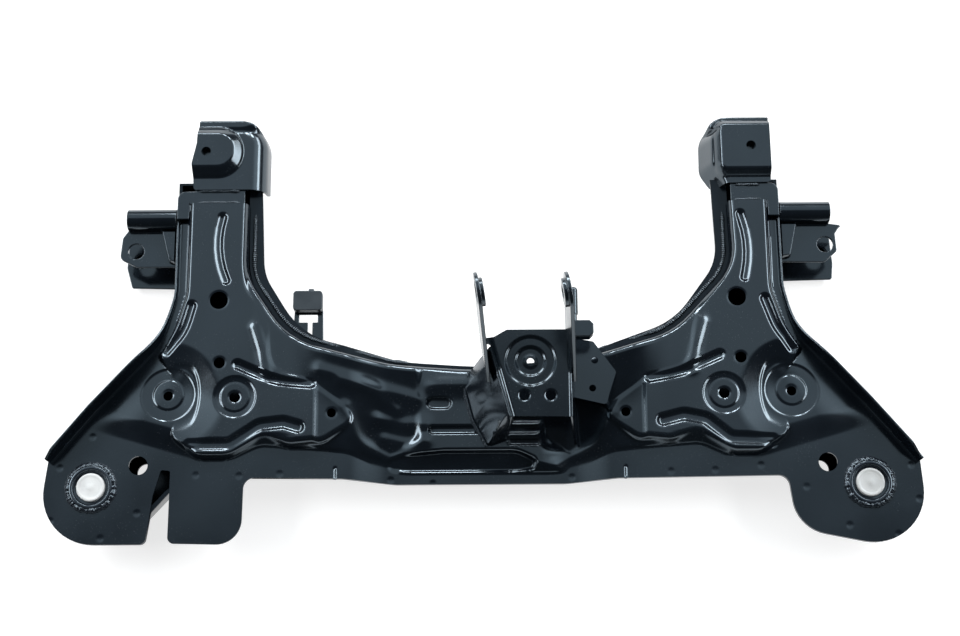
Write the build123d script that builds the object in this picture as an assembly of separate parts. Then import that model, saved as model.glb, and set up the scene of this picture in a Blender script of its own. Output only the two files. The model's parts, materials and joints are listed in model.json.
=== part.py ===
"""Front subframe of a small car: pressed and welded steel, painted, with its fitted bracket set.

Millimetres. +X runs along the crossmember to the right of the picture, +Y points to the two
arms, +Z is up. The origin lies midway between the rear mounting sleeves on the resting plane.
"""
import os
from functools import cache
from math import radians, sin, tan

from build123d import *

SHEET = 2.6
PLATE = 3.0
FIT_GAP = 0.1
FOOT_GAP = 0.25
FAR = 700.0

FLANGE_TOP = 50.0
FLANGE_BOTTOM = FLANGE_TOP - SHEET
RIM_BOTTOM = FLANGE_BOTTOM - SHEET
PLATEAU_TOP = 62.0
PLATEAU_UNDER = PLATEAU_TOP - SHEET
CENTRE_DROP = 12.0
DROP_START = 150.0
DROP_END = 96.0
SADDLE_TOP = 47.0
SADDLE_START = 236.0
SADDLE_END = 82.0
STEEP = 12.0
SOFT = 50.0
PLATEAU_TAPER = 30.0
BODY_FLOOR = RIM_BOTTOM - CENTRE_DROP
FOOT_REACH = 2.6
SOFT_REACH = 10.0
SIDE_CHANNEL = 9.0
BAY_WELD_REACH = 8.5
BAY_WELD_HEIGHT = 3.0
PLATEAU_REACH = 8.0
BEAD_DEPTH = 3.2
BEAD_BEND = 16.0
BEAD_WALL = 30.0
RIM_WIDTH = 14.0
TRAY_TAPER = 6.0
STUB_LEFT_INNER = -326.0
STUB_TOP = PLATEAU_UNDER

SLEEVE_X = 422.0
SLEEVE_RADIUS = 23.5
SLEEVE_TOP = 54.0
SLEEVE_BORE = 14.5
SLEEVE_MOUTH = 19.5
SLEEVE_MOUTH_DEPTH = 4.0
PLUG_SEAT_RADIUS = 15.5
PLUG_SEAT_DEPTH = 9.0
PLUG_LENGTH = 8.0

LIP_TOP = 78.0
LIP_ARM_TOP = 57.0
LIP_START_Y = 29.0
LIP_CORNER = 10.0
LIP_FALL_START_Y = 128.0
LIP_FALL_END_Y = 204.0
ARM_END_Y = 321.0
STUB_START_Y = 303.0
RIM_END_Y = 350.0

FRONT_PLATE_TOP = PLATEAU_UNDER + PLATE
FRONT_BOSS_HEIGHT = 9.0
WELD_WIDTH = 3.4
WELD_HEIGHT = 2.4
WELD_CREST = 0.8

# Corner points are (x, y, corner radius), clockwise from the middle of the rear edge.
REAR_LEFT = [(-92, 3, 60), (-150, 8, 60)]
LEFT_TAB = [(-257, 10, 12), (-258, -63, 27), (-337, -61, 7), (-337, 18, 2), (-347, 19, 2)]
LEFT_TAB_BARE = [(-300, 10, 20), (-335, -3, 4), (-356, -27, 6)]
LEFT_LOBE = [(-355, -10, 6), (-361, -62, 7), (-480, -62, 57), (-470, 29, 0)]
LEFT_OUTER = [(-424, 86, 40), (-354, 164, 80), (-340, 216, 60)]
RIGHT_OUTER = [(340, 222, 60), (352, 172, 80), (424, 90, 40)]
RIGHT_LOBE = [(478, 24, 0), (484, -78, 57), (341, -49, 42), (334, 9, 12)]
REAR_RIGHT = [(150, 7, 60), (92, 3, 60)]
ARM_LEFT_X = -341.0
ARM_RIGHT_X = 340.0
# The foot of the steep front wall, from the left arm's end round the engine bay to the right one.
FRONT_FOOT = [
    (-258, ARM_END_Y, 0), (-258, 238, 60), (-210, 166, 90), (-99, 136, 200), (0, 129, 300),
    (99, 137, 200), (214, 172, 90), (282, 246, 60), (277, ARM_END_Y, 0),
]
# The rim of the lower shell round the engine bay.
FRONT_RIM = [
    (-246, RIM_END_Y, 0), (-241, 240, 60), (-198, 170, 90), (-85, 141, 200), (0, 135, 300),
    (105, 143, 200), (217, 184, 90), (267, 252, 60), (264, RIM_END_Y, 0),
]
REAR_FOOT = [
    (-440, 128, 0), (-398, 84, 30), (-340, 34, 30), (-300, 20, 20), (-266, 20, 20),
    (-238, 33, 20), (-172, 28, 60), (-80, 17, 80), (80, 17, 80), (172, 28, 60),
    (238, 33, 20), (266, 20, 20), (300, 20, 20), (340, 34, 30), (398, 84, 30), (440, 128, 0),
]
# The raised corner plateau, left: nose towards the middle, soft rear edge.
LEFT_PLATEAU = [
    (-324, ARM_END_Y + 40, 0), (-324, 214, 40), (-336, 172, 30), (-404, 104, 10), (-345, 58, 30),
    (-306, 34, 20), (-276, 34, 20), (-236, 58, 20), (-208, 48, 20), (-172, 50, 20),
    (-140, 72, 9), (-152, 88, 20), (-186, 114, 20), (-232, 128, 30), (-232, 180, 40),
    (-262, 222, 40), (-262, ARM_END_Y + 40, 0),
]
RIGHT_PLATEAU = [
    (281, ARM_END_Y + 40, 0), (284, 250, 60), (236, 180, 40), (232, 132, 30), (186, 118, 20),
    (152, 92, 20), (140, 75, 9), (172, 52, 20), (208, 50, 20), (236, 60, 20),
    (276, 36, 20), (306, 36, 20), (345, 60, 30), (404, 106, 10), (336, 174, 30),
    (323, 216, 40), (324, ARM_END_Y + 40, 0),
]

DISHES = [(-342, 101.5), (342, 102.5)]
DISH_RADIUS = 30.5
DISH_DISC = 17.0
DISH_DEPTH = 8.0
DISH_HOLE = 5.5
STEP_RADIUS = 46.0
STEP_DEPTH = 2.4
ROUNDS = [(-268, 97), (267, 98)]
ROUND_RADIUS = 24.0
ROUND_DISC = 16.5
ROUND_DEPTH = 3.6
ROUND_HOLE = 5.9
ARM_HOLES = [(-289, 207), (286, 207)]
ARM_HOLE = 10.0
SMALL_HOLES = [(-286, 135.5), (287, 138)]
SMALL_HOLE = 6.2
CORNER_HOLES = [(-162, 79), (159, 78)]
CORNER_HOLE = 5.0
THROUGH_HOLES = [(-372, 24), (378, 23)]
THROUGH_HOLE = 10.3

# Pressed beads: the centre line's points and the width.
BEADS = [
    ([(-286, 302), (-290, 268), (-280, 228)], 9.0),
    ([(294, 304), (299, 266), (295, 230)], 9.0),
    ([(-319, 201), (-325, 168), (-345, 149)], 9.0),
    ([(317, 205), (326, 173), (344, 149)], 9.0),
    ([(-266, 133), (-226, 117), (-185, 111)], 11.0),
    ([(264, 141), (222, 124), (186, 115)], 11.0),
    ([(-316, 44), (-272, 44), (-240, 65), (-214, 68), (-198, 63)], 11.0),
    ([(318, 46), (272, 48), (246, 69), (222, 74), (199, 68)], 11.0),
]
# Lengthwise grooves in the middle of the crossmember: x from, x to, y, width.
GROOVES = [(-74, -30, 92, 10.0), (-74, 70, 68, 9.0), (-78, -26, 46, 10.0), (32, 58, 46, 8.0)]
LENS = [(-64, 24, 6), (-30, 37, 30), (40, 37, 30), (74, 22, 6), (40, 17, 60), (-30, 17, 60)]

# Front mounting brackets.
LEFT_MOUNT = [
    (-322, 337, 3), (-324, 366, 6), (-319, 390, 6), (-318, 421, 3), (-250, 422, 16),
    (-236, 396, 22), (-236, 337, 3),
]
LEFT_BOSS = [(-332, 349, 0), (-332, 415, 0), (-276, 414, 12), (-263, 398, 14), (-263, 349, 16)]
RIGHT_MOUNT = [
    (331, 342, 3), (331, 421, 3), (274, 421, 18), (257, 404, 12), (254, 362, 10), (262, 341, 6),
]
RIGHT_BOSS = [(342, 348, 0), (268, 348, 12), (269, 416, 12), (342, 416, 0)]
FRONT_HOLES = [(-308, 380), (309, 383)]
FRONT_HOLE = 5.4
LEFT_WELD_X = (-316, -269)
RIGHT_WELD_X = (289, 319)

# Control-arm brackets.
ARM_BOLT_HOLES = [(-388, 271), (392, 274)]
ARM_BOLT_HOLE = 9.0
ARM_PLATE_TOP = 41.0
ARM_LOWER_TOP = 6.0
RIB_RADIUS = 12.0
RIB_CENTRE_Z = 47.0
RIB_LEFT_Y = 306.0
RIB_RIGHT_Y = 310.0
ARM_OVERRUN = 16.0
CHEEK_HEIGHT = 9.0

# Engine-stop bracket in the middle.
WEB_TOP = 120.0
WEB_DISH = 4.0
WEB_CENTRE_HOLE = 4.0
WEB_SMALL_HOLE = 5.5
EAR_SHEET = 4.0
EAR_LEFT_X = -3.2
EAR_RIGHT_X = 89.0
EAR_YAW = 9.0
EAR_RADIUS = 21.0
EAR_CENTRE_Y = 170.0
EAR_CENTRE_Z = 211.0
EAR_FOOT_Y = 124.0
EAR_FOOT_Z = 104.0
EAR_FOOT_HALF = 24.0
EAR_HOLE = 6.5
EAR_SEAT_RADIUS = 15.0
EAR_DISH = 4.0
SIDE_PLATE_TOP = 80.0
WALL_FLOOR = FLANGE_BOTTOM - CENTRE_DROP + 0.1
STUD = (101.5, 166.0, 204.5, 112.0)
STUD_RADIUS = 4.6
WEB_REAR_Y = 62.0
WEB_FRONT_Y = 155.0
WEB_RIGHT_X = 98.0
WEB_CIRCLE = (54, 121)
WEB_SMALL_HOLES = [(47, 84), (75, 84)]
# Left wall of the bracket: its foot on the crossmember and its head under the web.
WALL_FOOT = [(-11, 127), (-17, 108), (-8, 73), (8, 43), (28, 50)]
WALL_HEAD = [(10.5, 138), (14, 125), (21, 98), (30, 66), (32, 61)]


def rounded(points, z=0.0):
    """Face at height z from corner points (x, y, corner radius); radius 0 keeps a sharp corner."""
    count = len(points)
    corners = [Vector(p[0], p[1], z) for p in points]
    stretches = []
    for i in range(count):
        corner = corners[i]
        radius = points[i][2]
        before = (corners[i - 1] - corner).normalized()
        after = (corners[(i + 1) % count] - corner).normalized()
        if radius == 0:
            stretches.append((corner, None, corner))
            continue
        half = radians(before.get_angle(after) / 2)
        reach = radius / tan(half)
        inward = (before + after).normalized()
        middle = corner + inward * (radius / sin(half) - radius)
        stretches.append((corner + before * reach, middle, corner + after * reach))
    edges = []
    for i in range(count):
        start, middle, end = stretches[i]
        if middle is not None:
            edges.append(Edge.make_three_point_arc(start, middle, end))
        following = stretches[(i + 1) % count][0]
        if (following - end).length > 1e-4:
            edges.append(Edge.make_line(end, following))
    return Face(Wire(edges))


def moved(points, distance):
    """Outline moved outward by a distance (inward if negative), corner by corner."""
    count = len(points)
    area = sum(
        points[i - 1][0] * points[i][1] - points[i][0] * points[i - 1][1] for i in range(count)
    )
    turn = 1 if area > 0 else -1
    result = []
    for i in range(count):
        corner = Vector(points[i][0], points[i][1])
        along = (corner - Vector(*points[i - 1][:2])).normalized()
        onward = (Vector(*points[(i + 1) % count][:2]) - corner).normalized()
        side_in = Vector(along.Y, -along.X) * turn
        side_out = Vector(onward.Y, -onward.X) * turn
        shift = (side_in + side_out) * (distance / (1 + side_in.dot(side_out)))
        bend = along.cross(onward).Z * turn
        radius = points[i][2]
        if radius > 0:
            radius = max(radius + (distance if bend > 0 else -distance), 0.4)
        result.append((corner.X + shift.X, corner.Y + shift.Y, radius))
    return result


def prism(points, low, high, taper=0.0):
    """Solid over an outline that is true at the lower height and leans inward by the taper."""
    top = moved(points, -(high - low) * tan(radians(taper)))
    wires = [rounded(points, low).outer_wire(), rounded(top, high).outer_wire()]
    return Solid.make_loft(wires, ruled=True)


def sunk(points, low, high, taper):
    """Solid over an outline that is true at the upper height and narrows downwards."""
    foot = moved(points, -(high - low) * tan(radians(taper)))
    wires = [rounded(foot, low).outer_wire(), rounded(points, high).outer_wire()]
    return Solid.make_loft(wires, ruled=True)


def grown(points, distance, low, high, taper=0.0):
    """Prism whose outline is moved outward by a distance (inward if negative)."""
    return prism(moved(points, distance), low, high, taper)


def below(profile, floor):
    """Everything under a polyline of (x, z) points, along the whole of Y."""
    points = [(profile[0][0], floor)] + profile + [(profile[-1][0], floor)]
    face = Face(Wire.make_polygon([Vector(x, -FAR, z) for x, z in points], close=True))
    return extrude(face, amount=2 * FAR, dir=(0, 1, 0))


def dipped(level, drop, start, end):
    """Points (x, z) of a level line that dips by a drop between start and end on both sides."""
    low = level - drop
    return [(-FAR, level), (-start, level), (-end, low), (end, low), (start, level), (FAR, level)]


def disc(x, y, radius, low, high, top_radius=None):
    """Upright round solid, tapered when a second radius is given."""
    place = Pos(x, y, (low + high) / 2)
    if top_radius is None:
        return place * Cylinder(radius, high - low)
    return place * Cone(radius, top_radius, high - low)


def box(x0, x1, y0, y1, z0, z1):
    """Box between two corners."""
    return Pos((x0 + x1) / 2, (y0 + y1) / 2, (z0 + z1) / 2) * Box(x1 - x0, y1 - y0, z1 - z0)


def upper_outline():
    """Outline points of the upper sheet at its flange."""
    front = [(-258, ARM_END_Y, 0)] + FRONT_FOOT[1:-1] + [(277, ARM_END_Y, 0)]
    left = REAR_LEFT + LEFT_TAB + LEFT_LOBE + LEFT_OUTER + [(ARM_LEFT_X, ARM_END_Y, 0)]
    right = [(ARM_RIGHT_X, ARM_END_Y, 0)] + RIGHT_OUTER + RIGHT_LOBE + REAR_RIGHT
    return left + front + right


def lower_outline():
    """Outline points of the lower sheet at its rim; the left tab has no sheet under it."""
    left = REAR_LEFT + LEFT_TAB_BARE + LEFT_LOBE[1:] + LEFT_OUTER + [(ARM_LEFT_X, RIM_END_Y, 0)]
    right = [(ARM_RIGHT_X, RIM_END_Y, 0)] + RIGHT_OUTER + RIGHT_LOBE + REAR_RIGHT
    return left + FRONT_RIM + right


def bay_side(front):
    """Outline of everything on the rear side of a front edge, reaching past the arms' ends."""
    end = ARM_END_Y + 100
    left = [(-FAR, end, 0), (front[0][0], end, 0)]
    right = [(front[-1][0], end, 0), (FAR, end, 0), (FAR, -200, 0), (-FAR, -200, 0)]
    return left + front[1:-1] + right


def outer_side():
    """Outline of everything inside the two outer edges, open to front and rear."""
    left = [(-470, -100, 0)] + LEFT_LOBE[-1:] + LEFT_OUTER + [(ARM_LEFT_X, 450, 0)]
    return left + [(ARM_RIGHT_X, 450, 0)] + RIGHT_OUTER + RIGHT_LOBE[:1] + [(478, -100, 0)]


@cache
def raised_body(shrink, drop):
    """Filled body of the raised middle of the upper sheet; shrunk and lowered for its inside."""
    top = PLATEAU_TOP - drop
    steep = grown(bay_side(FRONT_FOOT), FOOT_REACH - shrink, BODY_FLOOR, PLATEAU_TOP, STEEP)
    rear = REAR_FOOT + [(440, 600, 0), (-440, 600, 0)]
    soft = grown(rear, SOFT_REACH - shrink, BODY_FLOOR, PLATEAU_TOP, SOFT)
    sides = grown(outer_side(), FOOT_REACH - SIDE_CHANNEL - shrink, BODY_FLOOR, PLATEAU_TOP, STEEP)
    saddle = below(dipped(top, PLATEAU_TOP - SADDLE_TOP, SADDLE_START, SADDLE_END), 0)
    body = steep & soft & sides & saddle
    for points in (LEFT_PLATEAU, RIGHT_PLATEAU):
        corner = grown(points, PLATEAU_REACH - shrink, RIM_BOTTOM, top, PLATEAU_TAPER)
        body += corner & steep & sides
    return body


def bead_face(points, width, z):
    """Slot-shaped face along a bent centre line, with round ends."""
    spots = [(x, y, z) for x, y in points]
    line = Line(*spots) if len(spots) == 2 else FilletPolyline(*spots, radius=BEAD_BEND)
    return make_face(offset(line, amount=width / 2, side=Side.BOTH))


def pressed(face, depth, taper):
    """Solid under a face, narrowing downwards: the space a pressed bead takes."""
    return extrude(face, amount=depth, dir=(0, 0, -1), taper=taper)


@cache
def bead_tools():
    """The spaces of all beads, dishes and grooves, and the same spaces with the sheet round them."""
    small = []
    large = []
    for points, width in BEADS:
        small.append(pressed(bead_face(points, width, PLATEAU_TOP), BEAD_DEPTH, BEAD_WALL))
        large.append(pressed(bead_face(points, width + SHEET, PLATEAU_TOP), BEAD_DEPTH + SHEET, 20))
    for x0, x1, y, width in GROOVES:
        ends = [(x0, y), (x1, y)]
        small.append(pressed(bead_face(ends, width, SADDLE_TOP), BEAD_DEPTH, BEAD_WALL))
        large.append(pressed(bead_face(ends, width + SHEET, SADDLE_TOP), BEAD_DEPTH + SHEET, 20))
    step_low = PLATEAU_TOP - STEP_DEPTH
    for x, y in DISHES:
        small.append(disc(x, y, STEP_RADIUS - 4, step_low, PLATEAU_TOP, STEP_RADIUS))
        large.append(disc(x, y, STEP_RADIUS - 1, step_low - SHEET, PLATEAU_TOP, STEP_RADIUS + 3))
        low = step_low - DISH_DEPTH
        small.append(disc(x, y, DISH_DISC, low, step_low + 0.01, DISH_RADIUS))
        large.append(disc(x, y, DISH_DISC, low - SHEET, step_low, DISH_RADIUS + SHEET))
    for x, y in ROUNDS:
        low = PLATEAU_TOP - ROUND_DEPTH
        small.append(disc(x, y, ROUND_DISC, low, PLATEAU_TOP, ROUND_RADIUS))
        large.append(disc(x, y, ROUND_DISC, low - SHEET, PLATEAU_TOP, ROUND_RADIUS + SHEET))
    lens_low = FLANGE_TOP - CENTRE_DROP
    small.append(prism(LENS, lens_low, PLATEAU_TOP, -25))
    large.append(grown(LENS, SHEET, lens_low - SHEET, PLATEAU_TOP, -25))
    return small, large


def upper_holes():
    """The round holes through the upper sheet."""
    low = 0.0
    cuts = []
    for spots, radius in (
        (ARM_HOLES, ARM_HOLE),
        (SMALL_HOLES, SMALL_HOLE),
        (CORNER_HOLES, CORNER_HOLE),
        (THROUGH_HOLES, THROUGH_HOLE),
        (ROUNDS, ROUND_HOLE),
    ):
        cuts += [disc(x, y, radius, low, 90) for x, y in spots]
    for x, y in DISHES:
        cuts.append(disc(x, y, DISH_HOLE, low, 90) & box(x - 9, x + 9, y - 9, y + 1, low, 90))
    for side in (-1, 1):
        cuts.append(disc(side * SLEEVE_X, 0, SLEEVE_RADIUS + FIT_GAP, low, 90))
    return cuts


@cache
def under_flange():
    """Everything below the joint between the two sheets, which dips in the middle."""
    return below(dipped(FLANGE_BOTTOM, CENTRE_DROP, DROP_START, DROP_END), -10)


@cache
def upper_shell():
    """Upper pressed sheet with its flange, raised body, plateaus, beads and holes."""
    outer = raised_body(0, 0)
    small, large = bead_tools()
    inner = raised_body(SHEET, SHEET) - large
    flange = prism(upper_outline(), BODY_FLOOR, FLANGE_TOP)
    flange &= below(dipped(FLANGE_TOP, CENTRE_DROP, DROP_START, DROP_END), -10)
    shell = (flange + outer) - inner - small - under_flange()
    shell -= upper_holes()
    shell &= box(-FAR, FAR, -FAR, ARM_END_Y, 0, 200)
    for x0, x1 in ((ARM_LEFT_X - 9, STUB_LEFT_INNER), (-STUB_LEFT_INNER, ARM_RIGHT_X + 9)):
        shell -= box(x0, x1, STUB_START_Y - FIT_GAP, 400, 0, 200)
    return shell


def turned_edge(side):
    """Turned-up outer edge of the upper sheet: high beside its corner, low along its arm."""
    band = grown(outer_side(), 0, FLANGE_TOP, LIP_TOP)
    band -= grown(outer_side(), -SHEET, FLANGE_TOP - 1, LIP_TOP + 1)
    end = STUB_START_Y - FIT_GAP
    profile = [
        (LIP_START_Y, 0), (LIP_START_Y, LIP_TOP - LIP_CORNER), (LIP_START_Y + LIP_CORNER, LIP_TOP),
        (LIP_FALL_START_Y, LIP_TOP), (LIP_FALL_END_Y, LIP_ARM_TOP), (end, LIP_ARM_TOP), (end, 0),
    ]
    face = Face(Wire.make_polygon([Vector(0, y, z) for y, z in profile], close=True))
    return band & extrude(face, amount=FAR, dir=(side, 0, 0))


@cache
def pocket(inset, low):
    """Filled tray of the lower sheet, narrowing downwards."""
    left = [(-100, 20, 60), (-160, 25, 60), (-300, 27, 20), (-340, -6, 20), (-372, -41, 14)]
    left += [(-453, -41, 35), (-449, 34, 20), (-411, 90, 40), (-349, 164, 80), (-338, 216, 60)]
    left += [(ARM_LEFT_X + 1, RIM_END_Y, 0), (ARM_RIGHT_X - 1, RIM_END_Y, 0)]
    right = [(337, 222, 60), (347, 172, 80), (411, 92, 40), (457, 32, 20), (461, -52, 36)]
    right += [(362, -30, 22), (350, 26, 20), (160, 25, 60), (100, 20, 60)]
    tray = sunk(moved(left + right, -inset), low, FLANGE_BOTTOM, TRAY_TAPER)
    front = moved(bay_side(FRONT_RIM), -RIM_WIDTH - inset)
    return tray & sunk(front, low, FLANGE_BOTTOM, TRAY_TAPER)


def lower_shell():
    """Lower pressed sheet: a tray with a rim all round, closed at the arms' front ends."""
    rim = prism(lower_outline(), 0, FLANGE_BOTTOM)
    rim -= below(dipped(RIM_BOTTOM, CENTRE_DROP, DROP_START, DROP_END), -10)
    tray = pocket(0, 0)
    shell = ((rim + tray) & under_flange()) - pocket(SHEET, SHEET)
    for side in (-1, 1):
        shell -= disc(side * SLEEVE_X, 0, SLEEVE_RADIUS + FIT_GAP, -1, 60)
    for x, y in THROUGH_HOLES:
        shell -= disc(x, y, THROUGH_HOLE, -1, 60)
    return shell


def sleeve(side):
    """Mounting sleeve with a bore and a wide mouth at its top."""
    tube = disc(side * SLEEVE_X, 0, SLEEVE_RADIUS, 0, SLEEVE_TOP)
    tube -= disc(side * SLEEVE_X, 0, SLEEVE_BORE, -1, SLEEVE_TOP)
    tube -= disc(side * SLEEVE_X, 0, PLUG_SEAT_RADIUS, SLEEVE_TOP - PLUG_SEAT_DEPTH, SLEEVE_TOP)
    mouth = SLEEVE_TOP - SLEEVE_MOUTH_DEPTH
    return tube - disc(side * SLEEVE_X, 0, SLEEVE_MOUTH - 1, mouth, SLEEVE_TOP + 0.01, SLEEVE_MOUTH)


def plug(side):
    """Cap that closes the top of a sleeve's bore for shipping."""
    radius = PLUG_SEAT_RADIUS - FIT_GAP / 2
    body = disc(side * SLEEVE_X, 0, radius, SLEEVE_TOP - PLUG_LENGTH, SLEEVE_TOP)
    return chamfer(body.edges().group_by(Axis.Z)[-1], 0.4)


def sleeve_weld(side):
    """Weld ring where a sleeve comes through the upper sheet."""
    inner = SLEEVE_RADIUS + FIT_GAP
    ring = disc(side * SLEEVE_X, 0, inner + 3.6, FLANGE_TOP, FLANGE_TOP + 3.0, inner + 0.8)
    return ring - disc(side * SLEEVE_X, 0, inner, FLANGE_TOP - 1, FLANGE_TOP + 4)


def bay_weld(side):
    """Weld bead between the upper sheet's front wall and the lower sheet's rim, one arm."""
    start, end = (-300, -60) if side < 0 else (60, 300)
    profile = dipped(FLANGE_BOTTOM + BAY_WELD_HEIGHT, CENTRE_DROP, DROP_START, DROP_END)
    slab = (below(profile, -20) - under_flange()) & box(start, end, 100, ARM_END_Y - 8, 0, 100)
    bead = slab & grown(bay_side(FRONT_FOOT), BAY_WELD_REACH, BODY_FLOOR, PLATEAU_TOP, 20)
    bead -= grown(bay_side(FRONT_FOOT), FOOT_REACH, BODY_FLOOR, PLATEAU_TOP, STEEP)
    return bead - upper_shell()


def front_stub(side):
    """Stub plate between an arm's upper sheet and its front mounting bracket."""
    if side < 0:
        points = [(-340, STUB_START_Y, 0), (-340, 336, 9), (-320, 336, 0), (-320, 349, 0)]
        points += [(-264, 349, 0), (-264, 312, 0), (STUB_LEFT_INNER - 0.5, 312, 0)]
        points += [(STUB_LEFT_INNER - 0.5, STUB_START_Y, 0)]
        wall = box(-340, -340 + PLATE, STUB_START_Y, 327, FLANGE_BOTTOM, STUB_TOP - PLATE)
    else:
        inner = 0.5 - STUB_LEFT_INNER
        points = [(339, STUB_START_Y, 0), (inner, STUB_START_Y, 0), (inner, 312, 0)]
        points += [(285, 312, 0), (285, 349, 0), (328, 349, 0), (328, 342, 0), (339, 342, 9)]
        wall = box(339 - PLATE, 339, STUB_START_Y, 333, FLANGE_BOTTOM, STUB_TOP - PLATE)
    return prism(points, STUB_TOP - PLATE, STUB_TOP) + wall - upper_shell()


def front_mount(side):
    """Front mounting bracket: a capped pressing with a raised seat round its bolt hole."""
    mount, boss = (LEFT_MOUNT, LEFT_BOSS) if side < 0 else (RIGHT_MOUNT, RIGHT_BOSS)
    low = 30.0
    seat_taper = 40
    top = FRONT_PLATE_TOP
    outer = prism(mount, low, top)
    outer += prism(boss, top - 1, top + FRONT_BOSS_HEIGHT, seat_taper) & prism(mount, low, 90)
    inner = grown(mount, -PLATE, low - 1, top - PLATE)
    inner += grown(boss, -PLATE, low, top + FRONT_BOSS_HEIGHT - PLATE, 1) & grown(
        boss, -PLATE, top - PLATE - 1, top + FRONT_BOSS_HEIGHT - PLATE, seat_taper
    )
    cup = outer - inner
    x0, x1 = (-345, -262) if side < 0 else (268, 345)
    cup -= box(x0, x1, 330, 352, low - 5, top - PLATE)
    edge_x = (-345, -312) if side < 0 else (322, 345)
    cup -= box(edge_x[0], edge_x[1], 330, 430, low - 5, top - PLATE - 8)
    x, y = FRONT_HOLES[0 if side < 0 else 1]
    return cup - disc(x, y, FRONT_HOLE, low, 90) - box(-FAR, FAR, 300, RIM_END_Y + FIT_GAP, 0, FLANGE_BOTTOM)


def stub_weld(side, y, outward):
    """Weld bead across a stub plate, its steep side against an edge at y."""
    x0, x1 = LEFT_WELD_X if side < 0 else RIGHT_WELD_X
    wall = y + outward * FIT_GAP
    foot = wall + outward * WELD_WIDTH
    crest = STUB_TOP + WELD_HEIGHT
    corners = [(wall, STUB_TOP), (foot, STUB_TOP), (wall + outward * WELD_CREST, crest), (wall, crest)]
    face = Face(Wire.make_polygon([Vector(x0, a, b) for a, b in corners], close=True))
    return extrude(face, amount=x1 - x0, dir=(1, 0, 0))


def arm_bracket_upper(side):
    """Upper half of a control-arm bracket: holed plate whose front edge rolls up into a rib."""
    if side < 0:
        wall, rib_end, rib_y = ARM_LEFT_X - FIT_GAP, -397, RIB_LEFT_Y
        front = rib_y - RIB_RADIUS + PLATE
        inside = ARM_LEFT_X + ARM_OVERRUN
        plate = [(inside, 252, 0), (-386, 252, 3), (-406, 262, 8), (-404, front - 10, 6)]
        plate += [(-397, front, 2), (inside, front, 0)]
    else:
        wall, rib_end, rib_y = ARM_RIGHT_X + FIT_GAP, 397, RIB_RIGHT_Y
        front = rib_y - RIB_RADIUS + PLATE
        inside = ARM_RIGHT_X - ARM_OVERRUN
        plate = [(inside, front, 0), (397, front, 0), (397, front - 2, 0), (411, front - 4, 1)]
        plate += [(404, front - 14, 3), (405, 266, 5), (390, 253, 6), (inside, 254, 0)]
    bottom = ARM_PLATE_TOP - PLATE
    body = prism(plate, bottom, ARM_PLATE_TOP)
    x0, x1 = sorted((wall, rib_end))
    centre = Pos((x0 + x1) / 2, rib_y, RIB_CENTRE_Z) * Rot(0, 90, 0)
    tube = centre * Cylinder(RIB_RADIUS, x1 - x0)
    tube -= centre * Cylinder(RIB_RADIUS - PLATE, x1 - x0 + 2)
    tube &= box(x0, x1, 200, 400, RIB_CENTRE_Z, 100)
    rear_leg = box(x0, x1, rib_y - RIB_RADIUS, rib_y - RIB_RADIUS + PLATE, bottom, RIB_CENTRE_Z)
    front_y = rib_y + RIB_RADIUS
    front_leg = box(x0, x1, front_y - PLATE, front_y, ARM_LOWER_TOP + FIT_GAP, RIB_CENTRE_Z)
    body += tube + rear_leg + front_leg
    x, y = ARM_BOLT_HOLES[0 if side < 0 else 1]
    return body - disc(x, y, ARM_BOLT_HOLE, 0, 60) - pocket(-FIT_GAP, -1)


def arm_bracket_cheek(side):
    """Gusset cap on a control-arm bracket beside the arm's wall."""
    if side < 0:
        wall = ARM_LEFT_X - FIT_GAP
        front = RIB_LEFT_Y - RIB_RADIUS - 2 * FIT_GAP
        points = [(wall, front, 0), (wall, 254, 0), (wall - 9, 256, 6), (wall - 19, front, 0)]
    else:
        wall = ARM_RIGHT_X + FIT_GAP
        front = RIB_RIGHT_Y - RIB_RADIUS - 2 * FIT_GAP
        points = [(wall, front, 0), (wall + 21, front, 0), (wall + 12, 258, 6), (wall, 256, 0)]
    cap = prism(points, ARM_PLATE_TOP, ARM_PLATE_TOP + CHEEK_HEIGHT, STEEP)
    top = ARM_PLATE_TOP + CHEEK_HEIGHT - PLATE
    return cap - grown(points, -PLATE, ARM_PLATE_TOP, top, STEEP)


def arm_bracket_lower(side):
    """Lower plate of a control-arm bracket, standing out behind the upper one."""
    if side < 0:
        inside = ARM_LEFT_X + ARM_OVERRUN
        front = RIB_LEFT_Y + RIB_RADIUS
        points = [(inside, 236, 0), (-398, 238, 3), (-405, 262, 8), (-404, front - 28, 8)]
        points += [(-397, front, 2), (inside, front, 0)]
    else:
        inside = ARM_RIGHT_X - ARM_OVERRUN
        front = RIB_RIGHT_Y + RIB_RADIUS
        points = [(inside, front, 0), (397, front, 2), (405, front - 30, 8), (407, 262, 8)]
        points += [(405, 243, 3), (inside, 241, 0)]
    plate = prism(points, ARM_LOWER_TOP - PLATE, ARM_LOWER_TOP)
    x, y = ARM_BOLT_HOLES[0 if side < 0 else 1]
    return plate - disc(x, y, ARM_BOLT_HOLE, -5, 60) - pocket(-FIT_GAP, -1)


@cache
def saddle_outer():
    """Filled body of the upper sheet with a weld gap round it, to fit the feet on it."""
    return raised_body(-FOOT_GAP, -FOOT_GAP)


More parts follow.
